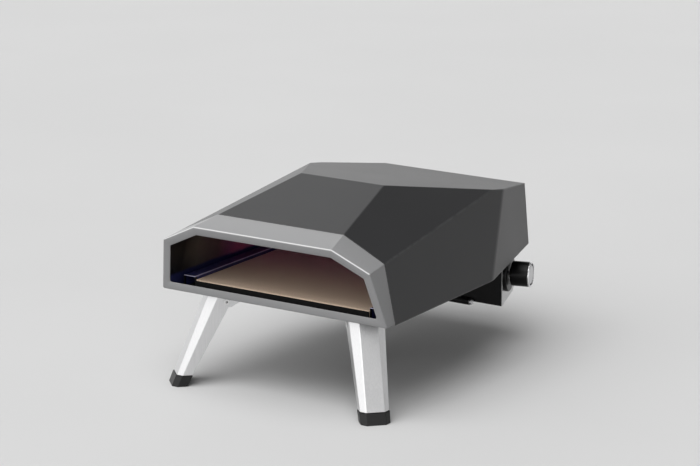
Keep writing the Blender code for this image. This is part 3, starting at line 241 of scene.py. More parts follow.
def merged_form(mesh: bpy.types.Mesh) -> bmesh.types.BMesh:
    """An editable form of a mesh, with doubles merged and the triangles of each flat face joined.

    Args:
        mesh: the mesh, which stays as it is.

    Returns:
        The form, which the caller frees.
    """
    form = bmesh.new()
    form.from_mesh(mesh)
    bmesh.ops.remove_doubles(form, verts=form.verts, dist=MERGE)
    bmesh.ops.dissolve_limit(form, angle_limit=FLAT, verts=form.verts, edges=form.edges)
    return form


def freeze(piece: Piece) -> Piece:
    """Put the result of a piece's modifiers into its mesh.

    Args:
        piece: the piece.

    Returns:
        The same piece.
    """
    bpy.context.view_layer.update()
    graph = bpy.context.evaluated_depsgraph_get()
    mesh = bpy.data.meshes.new_from_object(piece.evaluated_get(graph), depsgraph=graph)
    piece.modifiers.clear()
    piece.data = mesh
    return piece


def even_shading(piece: Piece) -> None:
    """Keep wide faces flat in the shading."""
    piece.modifiers.new("even shading", "WEIGHTED_NORMAL").keep_sharp = True


def soften_rims(piece: Piece, width: float, angle: float = math.radians(40)) -> None:
    """Round the edges that turn by more than an angle, and keep wide faces flat in the shading.

    Args:
        piece: the piece.
        width: how far each edge is eased.
        angle: the least turn of an eased edge.
    """
    bevel = piece.modifiers.new("rim", "BEVEL")
    bevel.width = width
    bevel.segments = RIM_STEPS
    bevel.limit_method = "ANGLE"
    bevel.angle_limit = angle
    bevel.miter_outer = "MITER_ARC"
    even_shading(piece)


def thicken(piece: Piece, sheet: float) -> None:
    """Give an open surface the thickness of its sheet, inwards.

    Args:
        piece: the piece.
        sheet: the sheet's thickness.
    """
    wall = piece.modifiers.new("sheet", "SOLIDIFY")
    wall.thickness = sheet
    wall.offset = -1.0
    wall.use_even_offset = True


def fine_copy(node: str, width: float = 0.0) -> Piece:
    """A copy of a frame node with merged facets and eased edges.

    Args:
        node: the node's name.
        width: how far each edge is eased, or zero on a round node.

    Returns:
        The copy, with its modifiers put into its mesh.
    """
    mesh = bpy.data.objects[node].data.copy()
    mesh.materials.clear()
    form = merged_form(mesh)
    form.to_mesh(mesh)
    form.free()
    piece = linked_piece("fine_" + node, mesh)
    if width > 0:
        soften_rims(piece, width)
    return freeze(piece)


def eased_outline(corners: np.ndarray, radii: np.ndarray, steps: int, closed: bool) -> np.ndarray:
    """Round the corners of a flat outline.

    Formula: a corner that turns by an angle t is left r tan(t / 2) before it and after it, and its arc is
    the centre plus r times (cos, sin) of angles spread evenly between the two tangent points.

    Args:
        corners: outline corners, one row each.
        radii: arc radius at each corner.
        steps: points on each arc.
        closed: whether the last corner joins the first; an open outline keeps its two end points.

    Returns:
        The rounded outline, one row for each point.
    """
    corners = np.asarray(corners, float)
    radii = np.broadcast_to(np.asarray(radii, float), len(corners))
    way_in = unit(corners - np.roll(corners, 1, axis=0))
    way_out = unit(np.roll(corners, -1, axis=0) - corners)
    cross = way_in[:, 0] * way_out[:, 1] - way_in[:, 1] * way_out[:, 0]
    turn = np.arctan2(cross, (way_in * way_out).sum(1))
    inward = np.stack([-way_in[:, 1], way_in[:, 0]], axis=1) * np.sign(turn)[:, None]
    reach = radii * np.tan(np.abs(turn) / 2)
    centre = corners - way_in * reach[:, None] + inward * radii[:, None]
    start = np.arctan2(-inward[:, 1], -inward[:, 0])
    angle = start[:, None] + turn[:, None] * np.linspace(0, 1, steps)[None, :]
    arcs = centre[:, None, :] + radii[:, None, None] * np.stack([np.cos(angle), np.sin(angle)], axis=-1)
    if closed:
        return arcs.reshape(-1, 2)
    return np.vstack([corners[:1], arcs[1:-1].reshape(-1, 2), corners[-1:]])


def at_height(outline: np.ndarray, height: float) -> np.ndarray:
    """A flat outline's points, all at one height."""
    return np.column_stack([outline, np.full(len(outline), height)])


@dataclass(frozen=True)
class Placement:
    """Where a piece's own axes lie in the frame: their origin, and X, Y and Z as rows."""

    origin: np.ndarray
    axes: np.ndarray

    def world(self, points: np.ndarray) -> np.ndarray:
        """Points in the frame from points in the piece's own axes."""
        return self.origin + points @ self.axes

    def own(self, points: np.ndarray) -> np.ndarray:
        """Points in the piece's own axes from points in the frame."""
        return (points - self.origin) @ self.axes.T

    @staticmethod
    def about(origin: Sequence[float], way: Sequence[float]) -> "Placement":
        """Axes whose Z runs along a way from an origin.

        Args:
            origin: the axes' origin.
            way: the way of their Z, of any length.

        Returns:
            The placement.
        """
        nearly_upright = 0.9
        along_z = unit(np.asarray(way, float))
        helper = UP if abs(along_z[2]) < nearly_upright else np.array((0.0, 1.0, 0.0))
        along_x = unit(np.cross(helper, along_z))
        return Placement(np.asarray(origin, float), np.stack([along_x, np.cross(along_z, along_x), along_z]))


def turned_piece(name: str, corners: Sequence[tuple[float, float]], place: Placement, ease: float,
                 steps: int, closed: bool = False) -> Piece:
    """A turned piece.

    Formula: the point at angle a and profile place (r, h) is (r cos a, r sin a, h), and the profile's
    corners are rounded first.

    Args:
        name: the piece's name.
        corners: profile corners as (radius, height).
        place: the piece's own axes.
        ease: radius of the profile's corners.
        steps: points round the piece.
        closed: whether the profile is a closed loop, as on a ring.

    Returns:
        The piece.
    """
    ease_share = 0.35
    arc_steps = 5
    outline = np.asarray(corners, float)
    spans = np.linalg.norm(np.roll(outline, -1, axis=0) - outline, axis=1)
    shortest = np.minimum(spans, np.roll(spans, 1))
    profile = eased_outline(outline, np.minimum(ease, shortest * ease_share), arc_steps, closed)
    angle = np.linspace(0, 2 * math.pi, steps, endpoint=False)
    ring = np.stack([np.cos(angle), np.sin(angle)], axis=-1)
    points = np.empty((len(profile), steps, 3))
    points[:, :, :2] = profile[:, None, :1] * ring[None]
    points[:, :, 2] = profile[:, 1:]
    return make_piece(name, place.world(points), grid_quads(len(profile), steps, closed, True))


@dataclass(frozen=True)
class Plane:
    """A plane: points p with normal . p = distance."""

    normal: np.ndarray
    distance: float

    def moved_in(self, inset: float) -> "Plane":
        """The plane moved against its normal."""
        return Plane(self.normal, self.distance - inset)

    def mirrored(self) -> "Plane":
        """The same plane on the left half."""
        return Plane(self.normal * MIRROR, self.distance)

    def nearest(self, point: np.ndarray) -> np.ndarray:
        """The plane's nearest point to a point."""
        return point + self.normal * (self.distance - point @ self.normal)


def meet(*planes: Plane) -> np.ndarray:
    """The point that three planes share."""
    return np.linalg.solve(np.stack([plane.normal for plane in planes]),
                           np.array([plane.distance for plane in planes]))


class BodyFacets:
    """The outer planes of the body, read from the frame's shell, fascia and back panel."""

    OUTER_SLACK = 0.0001
    FACING_SHARE = 0.985

    def __init__(self, shell: Piece, fascia: Piece, panel: Piece) -> None:
        """Find each facet among the outermost faces of the three nodes."""
        sources = {Facet.FRONT: fascia, Facet.BACK: panel}
        self.planes = {facet: self.outermost(sources.get(facet, shell), facet) for facet in Facet}

    def __getitem__(self, facet: Facet) -> Plane:
        """The plane of one facet."""
        return self.planes[facet]

    def outermost(self, node: Piece, facet: Facet) -> Plane:
        """The widest of a node's outer faces that look the facet's way.

        Formula: a face is outer where no corner of the node lies beyond its plane.

        Args:
            node: the frame's node.
            facet: the facet to look for.

        Returns:
            The face's plane.
        """
        faces = node.data.polygons
        corners = mesh_values(node.data.vertices, "co", 3)
        normals = mesh_values(faces, "normal", 3)
        distances = (normals * mesh_values(faces, "center", 3)).sum(1)
        areas = mesh_values(faces, "area", 1)[:, 0]
        outer = (normals @ corners.T).max(1) - distances < self.OUTER_SLACK
        facing = normals @ unit(np.array(facet.value)) > self.FACING_SHARE
        best = int(np.where(outer & facing, areas, 0.0).argmax())
        return Plane(normals[best], float(distances[best]))


@dataclass
class RingForm:
    """A sheet ring round the body: a profile of insets and cross planes carried round a chain of facets.

    Formula: at each fold between two facets, both moved in by the inset plus the fold's radius, the arc
    points are their shared line plus radius times the normals turned evenly from one facet to the
    other, slid along the fold onto the profile point's cross plane.
    """

    chain: list[Plane]
    closed: bool
    steps: int = 7

    def stations(self, inset: float, cross: Plane, radius: float) -> np.ndarray:
        """Points round the ring for one profile point.

        Args:
            inset: how far the point lies inside the facets.
            cross: the plane across the ring that the point lies on.
            radius: radius of the folds at this inset.

        Returns:
            One row for each point round the ring.
        """
        following = self.chain[1:] + self.chain[:1] if self.closed else self.chain[1:]
        rows = []
        for before, after in zip(self.chain, following):
            axis = unit(np.cross(before.normal, after.normal))
            centre = meet(before.moved_in(inset + radius), after.moved_in(inset + radius), cross)
            share = np.linspace(0, 1, self.steps)[:, None]
            angle = math.acos(float(np.clip(before.normal @ after.normal, -1, 1)))
            normals = (np.sin((1 - share) * angle) * before.normal + np.sin(share * angle) * after.normal)
            points = centre + radius * normals / math.sin(angle)
            off = points @ cross.normal - cross.distance
            rows.append(points - np.outer(off / (axis @ cross.normal), axis))
        return np.vstack(rows)

    def piece(self, name: str, profile: Sequence[tuple[float, Plane, float]]) -> Piece:
        """The ring as a piece, from a closed profile of (inset, cross plane, fold radius).

        Args:
            name: the piece's name.
            profile: the stations of one section, in order.

        Returns:
            The piece.
        """
        points = np.stack([self.stations(*station) for station in profile])
        rows, columns = points.shape[:2]
        faces = grid_quads(rows, columns, True, self.closed)
        if not self.closed:
            faces += [[row * columns for row in range(rows)],
                      [row * columns + columns - 1 for row in reversed(range(rows))]]
        return make_piece(name, points, faces)


class Nodes:
    """A node tree with short ways to add nodes, set their sockets and join them."""

    def __init__(self, tree: bpy.types.NodeTree) -> None:
        """Keep the tree."""
        self.tree = tree

    def feed(self, node: bpy.types.Node, inputs: dict) -> None:
        """Set a node's inputs by name or number, or link those whose value is a socket."""
        for name, value in inputs.items():
            if isinstance(value, Socket):
                self.tree.links.new(value, node.inputs[name])
            else:
                node.inputs[name].default_value = value

    def add(self, kind: str, inputs: dict | None = None, **settings: object) -> bpy.types.Node:
        """Add a node, set its properties and feed its inputs.

        Args:
            kind: the node's type.
            inputs: values or sockets, by input name or number.
            settings: the node's properties.

        Returns:
            The node.
        """
        node = self.tree.nodes.new(kind)
        for name, value in settings.items():
            setattr(node, name, value)
        self.feed(node, inputs or {})
        return node

    def math(self, operation: str, first: object, second: object = 0.0, clamp: bool = False) -> Socket:
        """An operation on two values."""
        node = self.add("ShaderNodeMath", {0: first, 1: second}, operation=operation, use_clamp=clamp)
        return node.outputs[0]

    def times(self, first: object, second: object, clamp: bool = False) -> Socket:
        """A product."""
        return self.math("MULTIPLY", first, second, clamp)

    def plus(self, first: object, second: object, clamp: bool = False) -> Socket:
        """A sum."""
        return self.math("ADD", first, second, clamp)

    def centred(self, noise: Socket) -> Socket:
        """A noise value as a swing about zero."""
        return self.math("SUBTRACT", noise, 0.5)

    def mix(self, share: object, first: object, second: object) -> Socket:
        """A colour between two colours."""
        return self.add("ShaderNodeMix", {0: share, 6: first, 7: second}, data_type="RGBA").outputs[2]

    def span(self, value: object, low: object, high: object, start: object = 0.0, end: object = 1.0,
             kind: str = "SMOOTHSTEP") -> Socket:
        """A value taken from one range to another, held at the ends."""
        inputs = {0: value, 1: low, 2: high, 3: start, 4: end}
        return self.add("ShaderNodeMapRange", inputs, interpolation_type=kind).outputs[0]

    def noise(self, where: object, scale: object, detail: float = 2.0, rough: float = 0.5) -> Socket:
        """A noise value at a place."""
        inputs = {"Vector": where, "Scale": scale, "Detail": detail, "Roughness": rough}
        return self.add("ShaderNodeTexNoise", inputs).outputs[0]

    def shade(self, colour: object, value: object) -> Socket:
        """A colour made lighter or darker."""
        return self.add("ShaderNodeHueSaturation", {"Color": colour, "Value": value}).outputs[0]

    def bump(self, height: Socket, distance: float, strength: object) -> Socket:
        """A normal that follows a height."""
        inputs = {"Strength": strength, "Distance": distance, "Height": height}
        return self.add("ShaderNodeBump", inputs).outputs[0]

    def place(self) -> Socket:
        """The place on the piece, in the frame's metres."""
        return self.add("ShaderNodeTexCoord").outputs["Object"]

    def parts(self, vector: Socket) -> bpy.types.NodeOutputs:
        """The X, Y and Z of a vector."""
        return self.add("ShaderNodeSeparateXYZ", {0: vector}).outputs

    def mirrored_ray(self, path: bpy.types.Node) -> Socket:
        """Whether a ray of a Light Path node comes from a reflection or through glass."""
        return self.math("MAXIMUM", path.outputs["Is Glossy Ray"], path.outputs["Is Transmission Ray"])


FLOAT = "NodeSocketFloat"
COLOUR = "NodeSocketColor"
VECTOR = "NodeSocketVector"
GREY = (0.5, 0.5, 0.5, 1.0)
WHITE = (1.0, 1.0, 1.0, 1.0)
SURFACE = (("Colour", COLOUR), ("Roughness", FLOAT), ("Normal", VECTOR))


def new_group(name: str, inputs: Sequence[tuple[str, str, object]], outputs: Sequence[tuple[str, str]]
              ) -> tuple[Nodes, bpy.types.NodeOutputs, bpy.types.Node]:
    """An empty shader node group with named sockets.

    Args:
        name: the group's name.
        inputs: (name, socket type, default value) of each input.
        outputs: (name, socket type) of each output.

    Returns:
        The group's node helper, the sockets that it is given, and its output node.
    """
    group = bpy.data.node_groups.new(name, "ShaderNodeTree")
    for label, kind, value in inputs:
        socket = group.interface.new_socket(name=label, in_out="INPUT", socket_type=kind)
        socket.default_value = value
    for label, kind in outputs:
        group.interface.new_socket(name=label, in_out="OUTPUT", socket_type=kind)
    nodes = Nodes(group)
    return nodes, nodes.add("NodeGroupInput").outputs, nodes.add("NodeGroupOutput")


class Effects:
    """Shader node groups that several finishes share, each built once."""

    CLOUD_SHARE = 0.6
    FLECK_SHARE = 0.4
    FLECK_SCALE_SHARE = 0.45
    GLOSS_SWING_SHARE = 0.8
    EDGE_MASK_WIDTH_SHARE = 0.125
    SMUDGE_SHARE = 0.06
    SMUDGE_GLOSS_SHARE = 0.08
    BAND_WANDER = 0.05
    NAVY_WANDER = 0.008
    NAVY = (0.035, 0.04, 0.16, 1.0)
    # Stops from the mouth to the burner: the near-black first stops are a painted shadow of the face ring,
    # the rising brightness is partly a painted reflection, and the hues are heat tint.
    TINT_AND_SHADE_BANDS = (
        (0.0, (0.004, 0.004, 0.004)), (0.08, (0.008, 0.008, 0.007)), (0.16, (0.15, 0.13, 0.105)),
        (0.27, (0.18, 0.11, 0.12)), (0.34, (0.42, 0.13, 0.27)), (0.44, (0.90, 0.20, 0.42)),
        (0.60, (0.85, 0.22, 0.50)), (1.0, (0.30, 0.16, 0.15)))

    def __init__(self) -> None:
        """Build the groups."""
        self.powder = self.powder_group()
        self.wear_and_highlight = self.wear_and_highlight_group()
        self.grain = self.grain_group()
        self.tint_and_shade = self.tint_and_shade_group()

    def powder_group(self) -> bpy.types.NodeTree:
        """Baked powder coat: a fine pebbled surface with faint cloudiness in colour and gloss.

        Returns:
            The group.
        """
        nodes, given, out = new_group(
            "powder grain",
            [("Colour", COLOUR, GREY), ("Spread", FLOAT, 0.1), ("Roughness", FLOAT, 0.5),
             ("Pebbles", FLOAT, 1600.0), ("Depth", FLOAT, 0.2)], SURFACE)
        place = nodes.place()
        cloud = nodes.noise(place, scale=9.0, detail=3.0)
        flecks = nodes.noise(place, nodes.times(given["Pebbles"], self.FLECK_SCALE_SHARE), rough=0.7)
        mixed = nodes.plus(nodes.times(cloud, self.CLOUD_SHARE), nodes.times(flecks, self.FLECK_SHARE))
        swing = nodes.times(nodes.centred(mixed), given["Spread"])
        gloss = nodes.plus(given["Roughness"], nodes.times(swing, self.GLOSS_SWING_SHARE), clamp=True)
        pebbles = nodes.noise(place, given["Pebbles"])
        nodes.feed(out, {"Colour": nodes.shade(given["Colour"], nodes.plus(swing, 1.0)), "Roughness": gloss,
                         "Normal": nodes.bump(pebbles, distance=0.0003, strength=given["Depth"])})
        return nodes.tree

    def wear_and_highlight_group(self) -> bpy.types.NodeTree:
        """Edge wear and painted highlight: a mask that is high where the surface turns sharply, broken up by
        noise.

        Returns:
            The group.
        """
        nodes, given, out = new_group(
            "edge wear and painted highlight", [("Radius", FLOAT, 0.001), ("Amount", FLOAT, 0.5), ("Turn", FLOAT, 0.88)],
            [("Mask", FLOAT)])
        bevel = nodes.add("ShaderNodeBevel", {"Radius": given["Radius"]}, samples=4)
        normal = nodes.add("ShaderNodeNewGeometry").outputs["Normal"]
        turn = nodes.add("ShaderNodeVectorMath", {0: bevel.outputs[0], 1: normal}, operation="DOT_PRODUCT")
        start = nodes.plus(nodes.times(given["Turn"], self.EDGE_MASK_WIDTH_SHARE), 1 - self.EDGE_MASK_WIDTH_SHARE)
        edge = nodes.span(turn.outputs["Value"], start, given["Turn"])
        patches = nodes.noise(nodes.place(), scale=160.0, detail=4.0, rough=0.6)
        broken = nodes.span(patches, low=0.25, high=0.60)
        nodes.feed(out, {"Mask": nodes.times(nodes.times(edge, broken), given["Amount"], clamp=True)})
        return nodes.tree

    def grain_group(self) -> bpy.types.NodeTree:
        """Brushed metal: streaks drawn out along one axis, in colour, gloss and height.

        Returns:
            The group.
        """
        nodes, given, out = new_group(
            "brushed grain",
            [("Stretch", VECTOR, (700.0, 700.0, 12.0)), ("Colour", COLOUR, GREY), ("Spread", FLOAT, 0.2),
             ("Roughness", FLOAT, 0.3), ("Depth", FLOAT, 0.1)], SURFACE)
        place = nodes.place()
        drawn = nodes.add("ShaderNodeVectorMath", {0: place, 1: given["Stretch"]}, operation="MULTIPLY")
        streaks = nodes.noise(drawn.outputs[0], scale=1.0, detail=4.0, rough=0.65)
        smudges = nodes.noise(place, scale=22.0, detail=3.0)
        swing = nodes.times(nodes.centred(streaks), given["Spread"])
        value = nodes.plus(nodes.plus(swing, 1 - self.SMUDGE_SHARE / 2),
                           nodes.times(smudges, self.SMUDGE_SHARE))
        dulling = nodes.plus(swing, nodes.times(smudges, self.SMUDGE_GLOSS_SHARE))
        nodes.feed(out, {"Colour": nodes.shade(given["Colour"], value),
                         "Roughness": nodes.plus(given["Roughness"], dulling, clamp=True),
                         "Normal": nodes.bump(streaks, distance=0.0002, strength=given["Depth"])})
        return nodes.tree

    def tint_and_shade_group(self) -> bpy.types.NodeTree:
        """Heat tint on steel with painted light: near-black at the mouth as a painted shadow of the face
        ring, then olive, plum and magenta to the burner, brightening deeper in partly as a painted
        reflection, navy low.

        Returns:
            The group.
        """
        nodes, given, out = new_group(
            "heat tint and painted shade",
            [("Start", FLOAT, -0.25), ("End", FLOAT, 0.15), ("Low", FLOAT, 0.166), ("High", FLOAT, 0.173)],
            [("Colour", COLOUR), ("Roughness", FLOAT)])
        place = nodes.place()
        parts = nodes.parts(place)
        drift = nodes.centred(nodes.noise(place, scale=14.0, detail=3.0))
        depth = nodes.plus(parts["Y"], nodes.times(drift, self.BAND_WANDER))
        along = nodes.span(depth, given["Start"], given["End"], kind="LINEAR")
        ramp = nodes.add("ShaderNodeValToRGB", {0: along})
        stops = ramp.color_ramp.elements
        while len(stops) < len(self.TINT_AND_SHADE_BANDS):
            stops.new(0.5)
        for stop, (where, colour) in zip(stops, self.TINT_AND_SHADE_BANDS):
            stop.position = where
            stop.color = (*colour, 1.0)
        height = nodes.plus(parts["Z"], nodes.times(drift, self.NAVY_WANDER))
        above = nodes.span(height, given["Low"], given["High"])
        patches = nodes.noise(place, scale=40.0, detail=4.0)
        nodes.feed(out, {"Colour": nodes.mix(above, self.NAVY, ramp.outputs[0]),
                         "Roughness": nodes.span(patches, low=0.3, high=0.7, start=0.28, end=0.5)})
        return nodes.tree


@dataclass(frozen=True)
class Finish:
    """A finish: its material name and the Principled values that are the same all over it."""

    name: str
    colour: Rgb
    roughness: float
    metallic: float = 0.0
    specular: float = 0.5

    def material(self, effects: Effects) -> bpy.types.Material:
        """Build the material: the constant values, and over them what varies from place to place.

        Args:
            effects: the shared shader node groups.

        Returns:
            The material.
        """
        material = bpy.data.materials.new(self.name)
        material.use_nodes = True
        nodes = Nodes(material.node_tree)
        shader = material.node_tree.nodes["Principled BSDF"]
        nodes.feed(shader, {"Base Color": self.rgba(), "Roughness": self.roughness, "Metallic": self.metallic,
                            "Specular IOR Level": self.specular})
        nodes.feed(shader, self.look(nodes, effects))
        return material

    def look(self, nodes: Nodes, effects: Effects) -> dict[str, Socket]:
        """The sockets that vary from place to place, by the names of the shader's inputs.

        Args:
            nodes: the material's node helper.
            effects: the shared shader node groups.

        Returns:
            The sockets.
        """
        return {}

    def rgba(self) -> tuple[float, float, float, float]:
        """The colour with full alpha."""
        return (*self.colour, 1.0)

    @staticmethod
    def surface(node: bpy.types.Node) -> dict[str, Socket]:
        """A group's colour, roughness and normal by the names of the shader's inputs."""
        return {"Base Color": node.outputs["Colour"], "Roughness": node.outputs["Roughness"],
                "Normal": node.outputs["Normal"]}


@dataclass(frozen=True)
class Moulded(Finish):
    """Moulded rubber, plastic or glazed ceramic, with slight cloudiness and a fine texture."""

    spread: float = 0.15
    texture: float = 900.0
    depth: float = 0.12

    def look(self, nodes: Nodes, effects: Effects) -> dict[str, Socket]:
        """The cloudy, pebbled surface."""
        inputs = {"Colour": self.rgba(), "Spread": self.spread, "Roughness": self.roughness,
                  "Pebbles": self.texture, "Depth": self.depth}
        return self.surface(nodes.add("ShaderNodeGroup", inputs, node_tree=effects.powder))


@dataclass(frozen=True)
class PowderCoat(Moulded):
    """Powder coat on sheet metal, lighter along its edges, partly from edge wear and partly as a painted
    highlight.
    """

    spread: float = 0.12
    texture: float = 1700.0
    depth: float = 0.25
    wear_and_highlight_colour: Rgb = (0.3, 0.3, 0.3)
    wear_and_highlight: float = 0.35
    wear_and_highlight_radius: float = 0.001
    wear_and_highlight_turn: float = 0.88
    paints_bend_highlight: bool = False

    def look(self, nodes: Nodes, effects: Effects) -> dict[str, Socket]:
        """The coat, lighter at its edges from wear and a painted highlight, and with a painted highlight on
        the bends that the mesh marks.

        Args:
            nodes: the material's node helper.
            effects: the shared shader node groups.

        Returns:
            The sockets, by the names of the shader's inputs.
        """
        coat = super().look(nodes, effects)
        # Lighter edges: partly edge wear, partly a painted highlight.
        inputs = {"Radius": self.wear_and_highlight_radius, "Amount": self.wear_and_highlight, "Turn": self.wear_and_highlight_turn}
        mask = nodes.add("ShaderNodeGroup", inputs, node_tree=effects.wear_and_highlight).outputs["Mask"]
        # A painted highlight on the bends that the mesh marks.
        if self.paints_bend_highlight:
            bends = nodes.add("ShaderNodeAttribute", attribute_name=BEND_HIGHLIGHT)
            mask = nodes.math("MAXIMUM", mask, bends.outputs["Fac"])
        coat["Base Color"] = nodes.mix(mask, coat["Base Color"], (*self.wear_and_highlight_colour, 1.0))
        return coat


@dataclass(frozen=True)
class BrushedMetal(Finish):
    """Bare metal with brushed or drawn streaks along one axis."""

    metallic: float = 1.0
    stretch: tuple[float, float, float] = (700.0, 700.0, 12.0)
    spread: float = 0.25
    depth: float = 0.15

    def look(self, nodes: Nodes, effects: Effects) -> dict[str, Socket]:
        """The streaked surface."""
        inputs = {"Stretch": self.stretch, "Colour": self.rgba(), "Spread": self.spread,
                  "Roughness": self.roughness, "Depth": self.depth}
        return self.surface(nodes.add("ShaderNodeGroup", inputs, node_tree=effects.grain))


@dataclass(frozen=True)
class HeatTinted(Finish):
    """Steel that has been hot: heat tint bands from the mouth to the burner with painted shade and
    reflection, and painted highlights and shade on the rails, over a brushed sheet.
    """

    start_y: float = -0.26
    end_y: float = 0.16
    navy_below: float = 0.166
    tint_above: float = 0.173
    # Colour of the painted highlight along the rails' top edges.
    edge: Rgb = (0.62, 0.60, 0.80)
    # Colour of the painted shade on the rails' front ends.
    end_shade: Rgb = (0.006, 0.006, 0.006)
    line: float = 0.0014
    fade: float = 0.0006
    # How far back from the front the rails' painted shade reaches.
    end_shade_length: float = 0.004
    stretch: tuple[float, float, float] = (300.0, 8.0, 300.0)
    depth: float = 0.1

    def rail_masks(self, nodes: Nodes) -> tuple[Socket, Socket]:
        """Where a stone rail gets a painted highlight, along its inner and front top edges, and where its
        front end gets painted shade.

        Formula: each mask is a product of steps in place, measured from the right rail's box and carried
        to the left one by the absolute value of X.

        Args:
            nodes: the material's node helper.

        Returns:
            The painted highlight mask and the painted shade mask.
        """
        low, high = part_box("right_stone_rail")
        line, fade = self.line, self.fade
        parts = nodes.parts(nodes.place())
        across = nodes.math("ABSOLUTE", parts["X"])
        within = nodes.times(nodes.span(across, low.x - fade - fade, low.x - fade),
                             nodes.span(across, high.x + fade + fade, high.x + fade))
        below = nodes.times(within, nodes.span(parts["Z"], high.z + fade + fade, high.z + fade))
        top = nodes.times(below, nodes.span(parts["Z"], high.z - line, high.z - line + fade))
        inner = nodes.span(across, low.x + line + fade, low.x + line)
        front = nodes.span(parts["Y"], low.y + line, low.y + line - fade)
        end = nodes.span(parts["Y"], low.y + self.end_shade_length + fade, low.y + self.end_shade_length)
        return nodes.times(top, nodes.math("MAXIMUM", inner, front)), nodes.times(below, end)

    def look(self, nodes: Nodes, effects: Effects) -> dict[str, Socket]:
        """The tint bands with their painted shade and reflection, the rails' painted highlights on their
        edges and painted shade on their front ends, and the sheet's grain.

        Args:
            nodes: the material's node helper.
            effects: the shared shader node groups.

        Returns:
            The sockets, by the names of the shader's inputs.
        """
        bands = {"Start": self.start_y, "End": self.end_y, "Low": self.navy_below, "High": self.tint_above}
        tint_and_shade = nodes.add("ShaderNodeGroup", bands, node_tree=effects.tint_and_shade)
        # The rails' painted highlight mask and painted shade mask.
        pale, end_shade = self.rail_masks(nodes)
        colour = nodes.mix(end_shade, tint_and_shade.outputs["Colour"], (*self.end_shade, 1.0))
        drawn = {"Stretch": self.stretch, "Depth": self.depth}
        grain = nodes.add("ShaderNodeGroup", drawn, node_tree=effects.grain)
        return {"Base Color": nodes.mix(pale, colour, (*self.edge, 1.0)),
                "Roughness": tint_and_shade.outputs["Roughness"], "Normal": grain.outputs["Normal"]}


@dataclass(frozen=True)
class FiredStone(Finish):
    """Baking stone: sandy at the mouth, darker and more purple towards the burner, with a painted highlight
    along its edges.
    """

    rear_colour: Rgb = (0.60, 0.42, 0.50)
    middle: Rgb = (0.68, 0.51, 0.49)
    # Pale colour of the painted highlight along the stone's edges.
    edge: Rgb = (0.85, 0.75, 0.65)
    front_y: float = -0.215
    rear_y: float = 0.12
    wander: float = 0.07
    wear_and_highlight: float = 0.9
    wear_and_highlight_radius: float = 0.0015

    def look(self, nodes: Nodes, effects: Effects) -> dict[str, Socket]:
        """The darkening along the stone, the painted highlight on its edges, and its specks and pores.

        Args:
            nodes: the material's node helper.
            effects: the shared shader node groups.

        Returns:
            The sockets, by the names of the shader's inputs.
        """
        place = nodes.place()
        # The colour turns darker and more purple from the mouth towards the rear.
        drift = nodes.times(nodes.centred(nodes.noise(place, scale=7.0, detail=4.0)), self.wander)
        along = nodes.span(nodes.plus(nodes.parts(place)["Y"], drift), self.front_y, self.rear_y)
        base = nodes.mix(nodes.span(along, low=0.0, high=0.5), self.rgba(), (*self.middle, 1.0))
        base = nodes.mix(nodes.span(along, low=0.45, high=1.0), base, (*self.rear_colour, 1.0))
        # A painted highlight along the stone's edges.
        inputs = {"Radius": self.wear_and_highlight_radius, "Amount": self.wear_and_highlight}
        edge_highlight = nodes.add("ShaderNodeGroup", inputs, node_tree=effects.wear_and_highlight)
        base = nodes.mix(edge_highlight.outputs["Mask"], base, (*self.edge, 1.0))
        grains = nodes.noise(place, scale=900.0)
        specks = nodes.span(grains, low=0.42, high=0.62, start=0.86, end=1.12)
        pores = nodes.noise(place, scale=1300.0, detail=3.0, rough=0.6)
        return {"Base Color": nodes.shade(base, specks),
                "Normal": nodes.bump(pores, distance=0.0004, strength=0.35)}


def even(pitch: float) -> tuple[float, float, float]:
    """A streak scale that is the same along all three axes."""
    return (pitch, pitch, pitch)


